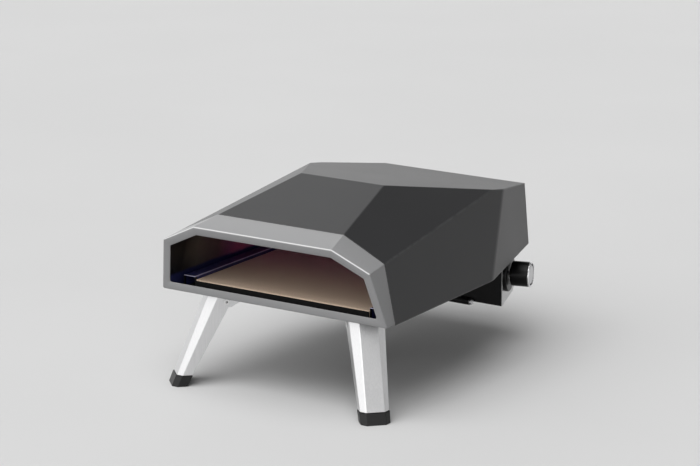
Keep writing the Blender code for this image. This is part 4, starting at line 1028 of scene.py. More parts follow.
FINISHES: dict[Slot, Finish] = {
    # The silver coat's front bend carries a painted highlight, and its lighter edges are partly wear and
    # partly a painted highlight.
    Slot.SILVER: PowderCoat("silver coat", (0.33, 0.33, 0.335), 0.45, metallic=0.1, wear_and_highlight_colour=(0.75, 0.75, 0.75),
                            wear_and_highlight=0.4, paints_bend_highlight=True),
    # The graphite coat's lighter folds and rims are a painted highlight.
    Slot.GRAPHITE: PowderCoat("graphite coat", (0.025, 0.025, 0.0265), 0.40, specular=0.4,
                              wear_and_highlight_colour=(0.15, 0.15, 0.15), wear_and_highlight=0.8, wear_and_highlight_radius=0.0024, wear_and_highlight_turn=0.975),
    Slot.BLACK: PowderCoat("black coat", (0.006, 0.006, 0.0065), 0.45, specular=0.25,
                           wear_and_highlight_colour=(0.04, 0.04, 0.04)),
    # Near black, so that the sheet's lip in front of the stone also stands in for the shade there.
    Slot.DARK_STEEL: PowderCoat("dark coated sheet", (0.005, 0.005, 0.0052), 0.55, specular=0.2,
                                wear_and_highlight_colour=(0.03, 0.03, 0.03)),
    Slot.HEAT_STEEL: HeatTinted("heat tinted steel with painted light", (0.03, 0.03, 0.035), 0.35, metallic=0.25),
    Slot.STAINLESS: BrushedMetal("stainless sheet", (0.55, 0.55, 0.55), 0.32, stretch=(12.0, 600.0, 600.0)),
    Slot.BRUSHED: BrushedMetal("brushed stainless legs", (0.72, 0.72, 0.725), 0.32, depth=0.12),
    Slot.ZINC: BrushedMetal("zinc plated steel", (0.74, 0.74, 0.74), 0.33, stretch=even(90.0)),
    Slot.CHROME: BrushedMetal("chrome", (0.88, 0.88, 0.89), 0.22, stretch=even(60.0), spread=0.03,
                              depth=0.02),
    Slot.SATIN: BrushedMetal("satin metal", (0.62, 0.62, 0.63), 0.32, stretch=(500.0, 30.0, 500.0)),
    Slot.BRASS: BrushedMetal("brass", (0.58, 0.42, 0.18), 0.3, stretch=(60.0, 500.0, 60.0)),
    Slot.COPPER: BrushedMetal("copper tube", (0.58, 0.27, 0.17), 0.3, stretch=even(200.0)),
    Slot.GLOSS: Moulded("gloss black plastic", (0.004, 0.004, 0.004), 0.30, specular=0.22, depth=0.03),
    Slot.RUBBER: Moulded("black rubber", (0.008, 0.008, 0.0085), 0.45, specular=0.4, depth=0.2),
    Slot.SILICONE: Moulded("red silicone lead", (0.30, 0.02, 0.015), 0.45),
    Slot.STONE: FiredStone("cordierite stone", (0.80, 0.62, 0.47), 0.85),
    Slot.CERAMIC: Moulded("white ceramic", (0.78, 0.77, 0.73), 0.25, depth=0.03),
    Slot.FIBRE: Moulded("ceramic fibre", (0.72, 0.71, 0.68), 0.95, texture=500.0, depth=0.6),
}


class Dresser:
    """Puts finishes on pieces and on frame nodes, and hides the nodes that each piece stands for."""

    def __init__(self, frame: dict, effects: Effects) -> None:
        """Build every finish once.

        Args:
            effects: the shared shader node groups.
        """
        self.materials = {slot: finish.material(effects) for slot, finish in FINISHES.items()}
        self.frame = frame
        self.body_of = {node: body for body, nodes in frame["record"]["behaviour"]["bodies"].items()
                        for node in nodes}
        self.slot_of = {entry["node"]: Slot(entry["material_slot"]) for entry in frame["record"]["subparts"]}
        self.done: set[str] = set()

    def dress(self, piece: Piece, *nodes: str, body: str | None = None, slot: Slot | None = None) -> None:
        """Finish a new piece that stands for one or more nodes, or that is added to a body.

        Args:
            piece: the new piece.
            nodes: names of the nodes it replaces.
            body: the body it rides on, or None for the first node's body.
            slot: the slot of its finish, or None for the first node's slot.
        """
        slot = slot or self.slot_of[nodes[0]]
        body = body or self.body_of[nodes[0]]
        piece.data.materials.clear()
        piece.data.materials.append(self.materials[slot])
        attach(piece, body)
        if nodes:
            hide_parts(*nodes)
            self.done.update(nodes)
        LOG.info("%s rides on %s, %d faces", piece.name, body, len(piece.data.polygons))

    def dress_copies(self, width: float, *nodes: str) -> None:
        """Replace nodes by fine copies whose edges are eased by a width, or by zero on round nodes."""
        for node in nodes:
            self.dress(fine_copy(node, width), node)

    def dress_rest(self) -> None:
        """Give every node that nothing else has dressed its finish."""
        for node, piece in self.frame["nodes"].items():
            if node not in self.done:
                piece.data.materials.clear()
                piece.data.materials.append(self.materials[self.slot_of[node]])
                self.done.add(node)
                LOG.info("%s keeps its own shape", node)


@dataclass
class BodySheets:
    """The silver front ring, its joggle, the dark shell and the louvred back."""

    sheet: float = 0.0012
    front_bend: float = 0.0019
    rim: float = 0.0004
    fold: float = 0.0016
    side_fold: float = 0.005
    ring_fold: float = 0.0022
    mouth_fold: float = 0.0030
    mouth_inset: float = 0.0128
    seam_gap: float = 0.0003
    joggle_inset: float = 0.0015
    joggle_length: float = 0.009
    joggle_foot: float = 0.0156
    hood_reach: float = 0.0024
    hood_length: float = 0.028
    hood_height: float = 0.0075
    hood_power: float = 0.8
    hood_drop_share: float = 0.35
    slot_area: float = 0.0001
    slot_side: float = 0.004
    slot_height: float = 0.008
    level: float = 0.99
    bend_steps: int = 8
    joggle_steps: int = 3
    fold_steps: int = 6
    hood_grid: tuple[int, int] = (17, 9)

    def build(self, facets: BodyFacets, dresser: Dresser) -> None:
        """Build and dress the body's outer sheets.

        Args:
            facets: the body's outer planes.
            dresser: puts the finish on each piece.
        """
        self.build_fascia(facets, dresser)
        self.build_shell(facets, dresser)
        self.build_back(facets, dresser)

    def build_fascia(self, facets: BodyFacets, dresser: Dresser) -> None:
        """The face ring and its band: one profile carried round the five facets and the bottom.

        Args:
            facets: the body's outer planes.
            dresser: puts the finish on each piece.
        """
        lower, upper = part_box("front_fascia")
        LOG.info("fascia spans %.1f mm", (upper.x - lower.x) * MILLIMETRES)
        side, hip, roof = facets[Facet.SIDE], facets[Facet.HIP], facets[Facet.FRONT_ROOF]
        bottom, front = facets[Facet.BOTTOM], facets[Facet.FRONT]
        over = [side, hip, roof, hip.mirrored(), side.mirrored()]
        seam = Plane(np.array((0.0, 1.0, 0.0)), -facets[Facet.SEAM].distance - self.seam_gap)
        mouth, bend, rim, third = self.mouth_inset, self.front_bend, self.rim, self.rim / 3
        profile = [(self.sheet, seam, self.fold), (rim, seam, self.ring_fold),
                   (third, seam.moved_in(third), self.ring_fold), (0.0, seam.moved_in(rim), self.ring_fold)]
        profile += [(bend * (1 - math.cos(a)), front.moved_in(bend * (1 - math.sin(a))), self.ring_fold)
                    for a in np.linspace(0, math.pi / 2, self.bend_steps)]
        profile += [(mouth - rim, front, self.mouth_fold),
                    (mouth - third, front.moved_in(third), self.mouth_fold),
                    (mouth, front.moved_in(rim), self.mouth_fold),
                    (mouth, front.moved_in(self.sheet), self.mouth_fold),
                    (self.sheet, front.moved_in(self.sheet), self.fold)]
        fascia = RingForm([bottom] + over, True).piece("fine_fascia", profile)
        # Mark where the front bend gets its painted highlight.
        self.paint_bend_highlight(fascia, over, front)
        foot = Plane(-UP, bottom.distance - self.joggle_foot)
        ends = (seam.moved_in(self.joggle_length), seam.moved_in(-self.joggle_length))
        inner = self.joggle_inset + self.sheet
        joggle = RingForm([foot] + over + [foot], False, self.joggle_steps).piece("fine_fascia_joggle", [
            (self.joggle_inset, ends[0], self.fold), (self.joggle_inset, ends[1], self.fold),
            (inner, ends[1], self.fold), (inner, ends[0], self.fold)])
        dresser.dress(fascia, "front_fascia")
        dresser.dress(joggle, body=ROOT_BODY, slot=Slot.SILVER)

    def paint_bend_highlight(self, fascia: Piece, facets: Sequence[Plane], front: Plane) -> None:
        """Write a painted highlight along the front bend, over the roof and the hips, where the light from
        above catches it.

        Formula: with a corner's depths under the nearest facet and under the front plane taken as shares
        of the bend's radius, its place on the bend is the angle a = atan2(1 - front share, 1 - facet
        share), and the mark is sin 2a, so it is one in the middle of the bend and zero on both flats.

        Args:
            fascia: the face ring's piece.
            facets: the facets round the band, the first and last of them the sides.
            front: the plane of the face ring.
        """
        corners = mesh_values(fascia.data.vertices, "co", 3)
        depths = np.stack([facet.distance - corners @ facet.normal for facet in facets])
        nearest = depths.argmin(0)
        front_depth = front.distance - corners @ front.normal
        across = np.clip(1 - depths.min(0) / self.front_bend, 0, 1)
        along = np.clip(1 - front_depth / self.front_bend, 0, 1)
        upper = (nearest > 0) & (nearest < len(facets) - 1)
        mark = np.sin(2 * np.arctan2(along, across)) * upper
        painted_bend_highlight = fascia.data.attributes.new(BEND_HIGHLIGHT, "FLOAT", "POINT")
        painted_bend_highlight.data.foreach_set("value", np.clip(mark, 0, 1).astype(np.float32))

    def build_shell(self, facets: BodyFacets, dresser: Dresser) -> None:
        """The dark shell as one folded sheet.

        Formula: its corners are the points that three neighbouring facets share; the folds between the
        facets are then rounded, widest between the side and the tapered side, and the sheet gets its
        thickness inwards.

        Args:
            facets: the body's outer planes.
            dresser: puts the finish on each piece.
        """
        seam = Plane(np.array((0.0, -1.0, 0.0)), facets[Facet.SEAM].distance)
        bottom = facets[Facet.BOTTOM]
        back = facets[Facet.BACK].moved_in(self.joggle_inset)
        front_roof, rear_roof = facets[Facet.FRONT_ROOF], facets[Facet.REAR_ROOF]
        side, hip, taper = facets[Facet.SIDE], facets[Facet.HIP], facets[Facet.TAPER]
        corners = {
            "seam_roof": (seam, front_roof, hip), "seam_hip": (seam, hip, side),
            "seam_foot": (seam, side, bottom), "ridge": (front_roof, rear_roof, hip),
            "hip_end": (hip, side, rear_roof), "taper_top": (side, taper, rear_roof),
            "back_top": (rear_roof, taper, back), "back_foot": (taper, back, bottom),
            "taper_foot": (side, taper, bottom)}
        right = np.stack([meet(*planes) for planes in corners.values()])
        number = {name: index for index, name in enumerate(corners)}
        count = len(corners)
        walls = [[number[name] for name in names.split()] for names in (
            "seam_roof ridge hip_end seam_hip", "seam_hip hip_end taper_top taper_foot seam_foot",
            "taper_top back_top back_foot taper_foot")]
        roofs = [[number[name] for name in names.split()] for names in (
            "seam_roof ridge", "ridge hip_end taper_top back_top")]
        faces = [list(reversed(wall)) for wall in walls]
        faces += [[corner + count for corner in wall] for wall in walls]
        faces += [line + [corner + count for corner in reversed(line)] for line in roofs]
        shell = make_piece("fine_shell", np.vstack([right, right * MIRROR]), faces, closed=False)
        self.turn_outwards(shell)
        taper_fold = (number["taper_top"], number["taper_foot"])
        wide = {frozenset(taper_fold), frozenset(corner + count for corner in taper_fold)}
        weights = shell.data.attributes.new("bevel_weight_edge", "FLOAT", "EDGE")
        for edge, weight in zip(shell.data.edges, weights.data):
            weight.value = 1.0 if frozenset(edge.vertices) in wide else self.fold / self.side_fold
        bevel = shell.modifiers.new("folds", "BEVEL")
        bevel.width = self.side_fold
        bevel.segments = self.fold_steps
        bevel.limit_method = "WEIGHT"
        thicken(shell, self.sheet)
        soften_rims(shell, self.rim, SHEET_EDGE)
        dresser.dress(freeze(shell), "outer_shell")

    @staticmethod
    def turn_outwards(piece: Piece) -> None:
        """Make the faces of an open sheet agree, and face away from the middle of its corners.

        Args:
            piece: the piece.
        """
        form = bmesh.new()
        form.from_mesh(piece.data)
        bmesh.ops.recalc_face_normals(form, faces=form.faces)
        middle = sum((vert.co for vert in form.verts), Vector()) / len(form.verts)
        outward = sum(face.normal.dot(face.calc_center_median() - middle) * face.calc_area()
                      for face in form.faces)
        if outward < 0:
            bmesh.ops.reverse_faces(form, faces=form.faces)
        form.to_mesh(piece.data)
        form.free()

    def build_back(self, facets: BodyFacets, dresser: Dresser) -> None:
        """The back panel, and a pressed hood over each louvre slot.

        Formula: a hood's height over the panel is its reach times (1 - u^4) times the hood's power of
        cos(pi v / 2), with u across the hood and v up it, so it opens downwards.

        Args:
            facets: the body's outer planes.
            dresser: puts the finish on each piece.
        """
        dresser.dress_copies(self.rim, "rear_panel")
        plane = facets[Facet.BACK]
        up = unit(np.cross(plane.normal, np.array((-1.0, 0.0, 0.0))))
        up = up if up[2] > 0 else -up
        columns, rows = self.hood_grid
        u, v = np.meshgrid(np.linspace(-1, 1, columns), np.linspace(0, 1, rows), indexing="xy")
        proud = self.hood_reach * (1 - u**4) * np.cos(v * math.pi / 2) ** self.hood_power
        skin = self.rim
        quads = np.array(grid_quads(rows, columns, False, False))
        faces = quads.tolist() + (quads[:, ::-1] + rows * columns).tolist() + self.skirt(rows, columns)
        for index, middle in enumerate(self.slot_middles(plane)):
            outer = (middle + u[..., None] * np.array((self.hood_length / 2, 0.0, 0.0))
                     + (v - self.hood_drop_share)[..., None] * up * self.hood_height
                     + (proud + skin / 4)[..., None] * plane.normal)
            points = np.stack([outer, outer - plane.normal * skin])
            hood = make_piece("louvre_hood_{}".format(index + 1), points, faces)
            dresser.dress(hood, body=ROOT_BODY, slot=Slot.GRAPHITE)

    @staticmethod
    def skirt(rows: int, columns: int) -> list[list[int]]:
        """Quads that join the rims of two grids of the same size, one after the other.

        Args:
            rows: number of grid rows.
            columns: number of grid columns.

        Returns:
            The corner numbers of each quad.
        """
        rim = [(0, column) for column in range(columns)]
        rim += [(row, columns - 1) for row in range(1, rows)]
        rim += [(rows - 1, column) for column in range(columns - 2, -1, -1)]
        rim += [(row, 0) for row in range(rows - 2, 0, -1)]
        numbers = [row * columns + column for row, column in rim]
        other = rows * columns
        return [[a, a + other, b + other, b] for a, b in zip(numbers, numbers[1:] + numbers[:1])]

    def slot_middles(self, plane: Plane) -> list[np.ndarray]:
        """Middles of the back panel's louvre slots, on its outer face.

        Args:
            plane: the panel's outer plane.

        Returns:
            One point for each slot.
        """
        form = merged_form(bpy.data.objects["rear_panel"].data)
        small = [face for face in form.faces if face.calc_area() < self.slot_area]
        floors = [np.array(face.calc_center_median()) for face in small if face.normal.z > self.level]
        tops = [np.array(face.calc_center_median()) for face in small if face.normal.z < -self.level]
        form.free()
        middles = []
        for floor in floors:
            above = [top for top in tops
                     if abs(top[0] - floor[0]) < self.slot_side and 0 < top[2] - floor[2] < self.slot_height]
            if above:
                middles.append(plane.nearest((floor + above[0]) / 2))
        return middles


@dataclass
class LegKit:
    """One folding leg: bent sheet with rounded bends, rubber foot, bracket, pin and rivets."""

    name: str
    joint: str
    web: float
    hinge_chamfer: float
    foot_chamfer: float
    hinge_flange: float
    foot_flange: float
    pin_to_web: float
    lean: float
    sheet: float = 0.0012
    bend: float = 0.0030
    foot_height: float = 0.0166
    foot_proud: float = 0.0011
    foot_plug: float = 0.012
    foot_corner: float = 0.0018
    foot_edge: float = 0.0010
    seat: float = 0.0008
    pin_radius: float = 0.003
    fit: float = 0.0003
    top: float = 0.009
    pin_head: float = 0.0008
    pin_head_radius: float = 0.0048
    pin_socket: float = 0.0019
    pin_depth: float = 0.0080
    pin_steps: int = 48
    sheet_rows: int = 14
    bend_steps: int = 9
    foot_steps: int = 5
    foot_corner_steps: int = 6
    place: Placement = field(init=False)
    hinge_height: float = field(init=False)

    def find_place(self, joints: list[dict]) -> None:
        """Read the hinge from the frame: its own X runs along the pin and its own Y towards the body.

        Args:
            joints: the frame's joints.
        """
        joint = joint_named(joints, self.joint)
        along = unit(np.array(joint["axis"], float))
        self.place = Placement(np.array(joint["pos_m"], float), np.stack([along, np.cross(UP, along), UP]))
        self.hinge_height = float(joint["pos_m"][2])

    def pin_place(self) -> Placement:
        """The hinge's axes with their Z along the pin."""
        return Placement(self.place.origin, np.roll(self.place.axes, -1, axis=0))

    def corners(self, height: float, grow: float = 0.0) -> np.ndarray:
        """The leg's flat outline at a height from its hinge, six corners from free edge to free edge.

        Args:
            height: height from the hinge, negative below it.
            grow: how far the outline is moved outwards, for the foot.

        Returns:
            Corner places across and along, one row each.
        """
        share = -height / (self.hinge_height - self.foot_height)
        chamfer = self.hinge_chamfer + (self.foot_chamfer - self.hinge_chamfer) * share
        flange = self.hinge_flange + (self.foot_flange - self.hinge_flange) * share
        corner = chamfer * math.sin(math.pi / 4)
        face = -(self.pin_to_web - math.tan(self.lean) * height) - grow
        slant = grow * math.tan(math.pi / 8)
        half = self.web / 2 + slant
        side = self.web / 2 + corner + grow
        shoulder = face + grow + corner - slant
        end = face + grow + corner + flange + grow
        right = [(half, face), (side, shoulder), (side, end)]
        return np.array([(-x, y) for x, y in reversed(right)] + right)

    def build(self, dresser: Dresser) -> None:
        """Build and dress the whole leg.

        Args:
            dresser: puts the finish on each piece.
        """
        self.build_sheet(dresser)
        self.build_foot(dresser)
        self.build_pin(dresser)
        dresser.dress_copies(self.fit, self.name + "_leg_bracket")
        dresser.dress_copies(0.0, *("{}_bracket_rivet_{}".format(self.name, index) for index in (1, 2)))

    def build_sheet(self, dresser: Dresser) -> None:
        """The bent sheet.

        Formula: the surface is the straight blend, from the hinge's level to the foot's, of two outlines
        whose bends are rounded; it gets its thickness inwards, and the pin's hole is cut.

        Args:
            dresser: puts the finish on each piece.
        """
        node = self.name + "_leg"
        low = -(self.hinge_height - self.foot_height) + self.seat
        radii = np.array((0.0, self.bend, self.bend, self.bend, self.bend, 0.0))
        points = self.place.world(np.stack([
            at_height(eased_outline(self.corners(height), radii, self.bend_steps, False), height)
            for height in np.linspace(low, self.top, self.sheet_rows)]))
        faces = grid_quads(*points.shape[:2], False, False)
        leg = make_piece("fine_" + node, points, faces, closed=False)
        self.face_away_from_pin(leg)
        thicken(leg, self.sheet)
        reach, radius = self.pin_to_web, self.pin_radius + self.fit
        rod = [(0.0, reach), (radius, reach), (radius, -reach), (0.0, -reach)]
        cutter = turned_piece(node + "_hole", rod, self.pin_place(), 0.0, self.pin_steps)
        hole = leg.modifiers.new("pin hole", "BOOLEAN")
        hole.object = cutter
        hole.operation = "DIFFERENCE"
        soften_rims(leg, self.sheet / 4, SHEET_EDGE)
        freeze(leg)
        bpy.data.objects.remove(cutter, do_unlink=True)
        dresser.dress(leg, node)

    def face_away_from_pin(self, leg: Piece) -> None:
        """Turn an open sheet so that its web faces away from the hinge pin."""
        outward = Vector(-self.place.axes[1])
        if sum(face.normal.dot(outward) * face.area for face in leg.data.polygons) < 0:
            leg.data.flip_normals()

    def build_foot(self, dresser: Dresser) -> None:
        """The rubber foot.

        Formula: outlines of the leg, moved outwards or inwards and rounded at their corners, are stacked
        in rows from the ground up: tread, wall, shoulder, and the plug inside the leg.

        Args:
            dresser: puts the finish on each piece.
        """
        node = self.name + "_foot"
        ground = -self.hinge_height
        edge = self.foot_edge
        half_edge = edge / 2
        block = ground + self.foot_height - self.fit
        plug = block + self.foot_plug
        inset = -(self.sheet / math.cos(self.lean) + self.seat)
        proud = self.foot_proud
        angle = np.linspace(0, math.pi / 2, self.foot_steps)
        rows = [(ground, -edge * 2)]
        rows += [(ground + edge * (1 - math.cos(a)), proud - edge * (1 - math.sin(a))) for a in angle]
        rows += [(block - half_edge * (1 - math.sin(a)), proud - half_edge * (1 - math.cos(a)))
                 for a in angle]
        rows += [(block, inset), (plug - edge, inset), (plug, inset - edge)]
        stack = []
        for height, grow in rows:
            radius = max(self.foot_corner + min(grow, 0.0) / 2, self.foot_corner / 3)
            outline = eased_outline(self.corners(height, grow), radius, self.foot_corner_steps, True)
            stack.append(at_height(outline, height))
        points = self.place.world(np.stack(stack))
        foot = make_piece("fine_" + node, points, stack_faces(*points.shape[:2]))
        even_shading(foot)
        dresser.dress(freeze(foot), node)

    def build_pin(self, dresser: Dresser) -> None:
        """The hinge pin, with a low flat head and a socket at each end.

        Args:
            dresser: puts the finish on each piece.
        """
        node = self.name + "_leg_pin"
        half = self.web / 2 + self.hinge_chamfer * math.sin(math.pi / 4) + self.fit
        face = half + self.pin_head
        chamfer = self.pin_head / 4
        floor = half - self.pin_depth
        upper = [(0.0, floor), (self.pin_socket, floor), (self.pin_socket, face),
                 (self.pin_head_radius - chamfer, face), (self.pin_head_radius, face - chamfer),
                 (self.pin_head_radius, half + self.fit), (self.pin_radius, half + self.fit)]
        profile = upper + [(radius, -height) for radius, height in reversed(upper)]
        dresser.dress(turned_piece("fine_" + node, profile, self.pin_place(), 0.0, self.pin_steps), node)


@dataclass
class StoneBed:
    """The baking stone, its tray and its two rails."""

    ease: float = 0.0011
    corner: float = 0.0035
    chip: float = 0.00035
    chip_waves: tuple = ((391.0, 0.0, 830.0, 0.0), (0.0, 467.0, 0.0, 1.3), (1130.0, -1130.0, 1900.0, 0.0))
    edge_share: float = 0.985
    under_shares: tuple = (0.985, 0.6, 0.2)
    top_shares: tuple = (0.02, 0.05, 0.12, 0.3, 0.6, 0.985)
    least_share: float = 0.01
    corner_share: float = 0.9
    ease_steps: int = 6
    corner_steps: int = 7
    side_steps: int = 60
    rail_bend: float = 0.0016
    rail_sheet: float = 0.001
    rail_rows: int = 12

    def build(self, dresser: Dresser) -> None:
        """Build and dress the stone, tray and rails.

        Args:
            dresser: puts the finish on each piece.
        """
        self.build_stone(dresser)
        for side in ("left", "right"):
            self.build_rail(side + "_stone_rail", dresser)
        dresser.dress_copies(self.ease / 4, "stone_tray")

    def build_stone(self, dresser: Dresser) -> None:
        """The stone slab.

        Formula: rows of rounded rectangles run from the middle of the underside, up the eased edge, and
        to the middle of the top; sums of sines of place move the edge rows in by up to the chip size.

        Args:
            dresser: puts the finish on each piece.
        """
        low, high = box_corners("pizza_stone")
        middle = (low + high) / 2
        half = (high - low) / 2
        ease = self.ease
        edge = [(ease * (1 - math.sin(a)), high[2] - ease * (1 - math.cos(a)))
                for a in reversed(np.linspace(0, math.pi / 2, self.ease_steps))]
        rows = [(half[0] * share, low[2]) for share in self.under_shares]
        rows += [(inset, low[2] + high[2] - height) for inset, height in reversed(edge)] + edge
        rows += [(half[0] * share, high[2]) for share in self.top_shares]
        points = np.stack([self.slab_row(middle, half, inset, height) for inset, height in rows])
        self.chip_edges(points, middle)
        dresser.dress(make_piece("fine_stone", points, stack_faces(*points.shape[:2])), "pizza_stone")

    def slab_row(self, middle: np.ndarray, half: np.ndarray, inset: float, height: float) -> np.ndarray:
        """One rounded rectangle of the slab, moved in by an inset, its points spread evenly on each side.

        Args:
            middle: the slab's middle.
            half: half of its size.
            inset: how far the row is moved in.
            height: the row's height.

        Returns:
            The row's points.
        """
        reach = np.maximum(half[:2] - inset, half[:2] * self.least_share)
        radius = max(self.corner - inset, self.corner / 8)
        radius = min(radius, float(reach.min()) * self.corner_share)
        signs = np.array(((1, -1), (1, 1), (-1, 1), (-1, -1)), float)
        arcs = eased_outline(signs * reach, radius, self.corner_steps, True).reshape(4, -1, 2)
        share = np.linspace(0, 1, self.side_steps)[1:-1, None]
        sides = [np.vstack([arc, arc[-1] + (after[0] - arc[-1]) * share])
                 for arc, after in zip(arcs, np.roll(arcs, -1, axis=0))]
        return at_height(np.vstack(sides) + middle[:2], height)

    def chip_edges(self, points: np.ndarray, middle: np.ndarray) -> None:
        """Wear the slab's outer rows in a little, unevenly.

        Formula: each wave is the sine of a sum of X, Y and Z times its first three numbers, plus its
        fourth; the chips follow the square of the waves' mean where that is over zero.

        Args:
            points: the slab's rows, which are changed.
            middle: the slab's middle.
        """
        waves = np.array(self.chip_waves)
        wave = np.sin(points @ waves[:, :3].T + waves[:, 3]).mean(-1)
        share = np.clip(wave, 0, 1) ** 2
        offset = points[..., :2] - middle[:2]
        outer = np.abs(offset)
        edge = (outer / outer.max(axis=(0, 1))).max(-1) > self.edge_share
        points[..., :2] -= np.sign(offset) * (share * edge * self.chip)[..., None]

    def build_rail(self, node: str, dresser: Dresser) -> None:
        """A rail beside the stone: a hat section with rounded bends, carried straight back.

        Args:
            node: the node's name.
            dresser: puts the finish on each piece.
        """
        low, high = box_corners(node)
        sheet, bend = self.rail_sheet, self.rail_bend
        outer = np.array(((low[0], low[2]), (low[0], high[2]), (high[0], high[2]), (high[0], low[2])))
        inner = np.array(((high[0] - sheet, low[2]), (high[0] - sheet, high[2] - sheet),
                          (low[0] + sheet, high[2] - sheet), (low[0] + sheet, low[2])))
        halves = [eased_outline(half, np.array((0, radius, radius, 0)), self.corner_steps, False)
                  for half, radius in ((outer, bend), (inner, bend - sheet))]
        outline = np.vstack(halves)
        points = np.stack([np.column_stack([outline[:, 0], np.full(len(outline), y), outline[:, 1]])
                           for y in np.linspace(low[1], high[1], self.rail_rows)])
        count, columns = points.shape[:2]
        faces = grid_quads(count, columns, False, True)
        for start in (0, (count - 1) * columns):
            end = start + columns - 1
            faces += [[start + index, start + index + 1, end - 1 - index, end - index]
                      for index in range(len(halves[0]) - 1)]
        dresser.dress(make_piece("fine_" + node, points, faces), node)


def joint_named(joints: list[dict], name: str) -> dict:
    """The frame's entry for one joint."""
    return next(entry for entry in joints if entry["name"] == name)


@dataclass(frozen=True)
class Reach:
    """How far a node reaches along an axis, and how wide it is about it."""

    low: float
    high: float
    radius: float

    @staticmethod
    def of(node: str, place: Placement) -> "Reach":
        """Measure a node's corners in the axes of a placement.

        Args:
            node: the node's name.
            place: the axes to measure in.

        Returns:
            The node's reach.
        """
        own = place.own(mesh_values(bpy.data.objects[node].data.vertices, "co", 3))
        radius = float(np.hypot(own[:, 0], own[:, 1]).max())
        return Reach(float(own[:, 2].min()), float(own[:, 2].max()), radius)


@dataclass
class KnobKit:
    """The control knob, its metal ring and face, the bezel, and the push igniter."""

    fit: float = 0.0003
    cup_wall: float = 0.003
    cup_depth: float = 0.0159
    spindle_hole: float = 0.0033
    floor_under_cap: float = 0.0032
    skirt_ease: float = 0.0008
    ring_chamfer: float = 0.0010
    cap_step: float = 0.0006
    cap_groove: float = 0.0020
    bezel_hole: float = 0.0083
    bezel_rim: float = 0.0011
    soft: float = 0.0005
    dish: float = 0.0004
    dish_shares: tuple[float, float] = (0.6, 0.8)
    steps: int = 128
    button_steps: int = 64

    def build(self, dresser: Dresser, joints: list[dict]) -> None:
        """Build and dress the knob's pieces about the axis that the knob turns on.

        Args:
            dresser: puts the finish on each piece.
            joints: the frame's joints.
        """
        joint = joint_named(joints, "knob_turn")
        place = Placement.about(joint["pos_m"], joint["axis"])
        nodes = ("knob", "knob_ring", "knob_cap", "knob_bezel")
        knob, ring, cap, disc = (Reach.of(node, place) for node in nodes)
        self.turn(dresser, "knob", self.knob_profile(knob, ring, cap), place, self.soft)
        inner, chamfer = cap.radius + self.fit, self.ring_chamfer
        trim = [(inner, ring.low), (inner, ring.high - chamfer / 2), (inner + chamfer / 2, ring.high),
                (ring.radius - chamfer, ring.high), (ring.radius, ring.high - chamfer),
                (ring.radius, ring.low)]
        self.turn(dresser, "knob_ring", trim, place, self.soft, closed=True)
        rim = cap.radius - self.cap_groove
        edge = rim - self.cap_step
        groove = cap.high - self.cap_step
        face = [(0.0, cap.high), (edge, cap.high), (edge, groove), (rim, groove), (rim, cap.low),
                (0.0, cap.low)]
        self.turn(dresser, "knob_cap", face, place, self.cap_step / 4)
        bezel = [(self.bezel_hole, disc.low), (self.bezel_hole, disc.high),
                 (disc.radius - self.bezel_rim, disc.high), (disc.radius, disc.high - self.bezel_rim),
                 (disc.radius, disc.low)]
        self.turn(dresser, "knob_bezel", bezel, place, self.soft, closed=True)
        self.build_igniter(dresser)
        dresser.dress_copies(0.0, "valve_spindle")

    def turn(self, dresser: Dresser, node: str, profile: Sequence[tuple[float, float]], place: Placement,
             ease: float, closed: bool = False) -> None:
        """Replace a node by a turned piece."""
        dresser.dress(turned_piece("fine_" + node, profile, place, ease, self.steps, closed), node)

    def knob_profile(self, knob: Reach, ring: Reach, cap: Reach) -> list[tuple[float, float]]:
        """The black knob: a cup with a boss for the spindle, and seats for its ring and face.

        Args:
            knob: the knob's reach.
            ring: its ring's reach.
            cap: its face's reach.

        Returns:
            The profile's corners as (radius, height).
        """
        seat = cap.low - self.fit
        step = ring.low - self.fit
        cup = knob.radius - self.cup_wall
        boss = knob.low + self.cup_depth
        hole_end = seat - self.floor_under_cap
        return [(0.0, seat), (cap.radius, seat), (cap.radius, step), (knob.radius, step),
                (knob.radius, knob.low + self.skirt_ease), (knob.radius - self.skirt_ease, knob.low),
                (cup, knob.low), (cup, boss), (self.spindle_hole, boss), (self.spindle_hole, hole_end),
                (0.0, hole_end)]

    def build_igniter(self, dresser: Dresser) -> None:
        """The igniter's button, with a shallow dish in its face.

        Args:
            dresser: puts the finish on each piece.
        """
        low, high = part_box("igniter_button")
        place = Placement.about((low.x, (low.y + high.y) / 2, (low.z + high.z) / 2), (1.0, 0.0, 0.0))
        button = Reach.of("igniter_button", place)
        dish = button.high - self.dish
        inner, outer = self.dish_shares
        profile = [(0.0, dish), (button.radius * inner, dish + self.dish / 2),
                   (button.radius * outer, button.high), (button.radius, button.high - self.soft),
                   (button.radius, button.low), (0.0, button.low)]
        piece = turned_piece("fine_igniter_button", profile, place, self.fit, self.button_steps)
        dresser.dress(piece, "igniter_button")
        dresser.dress_copies(self.fit, "igniter_barrel")


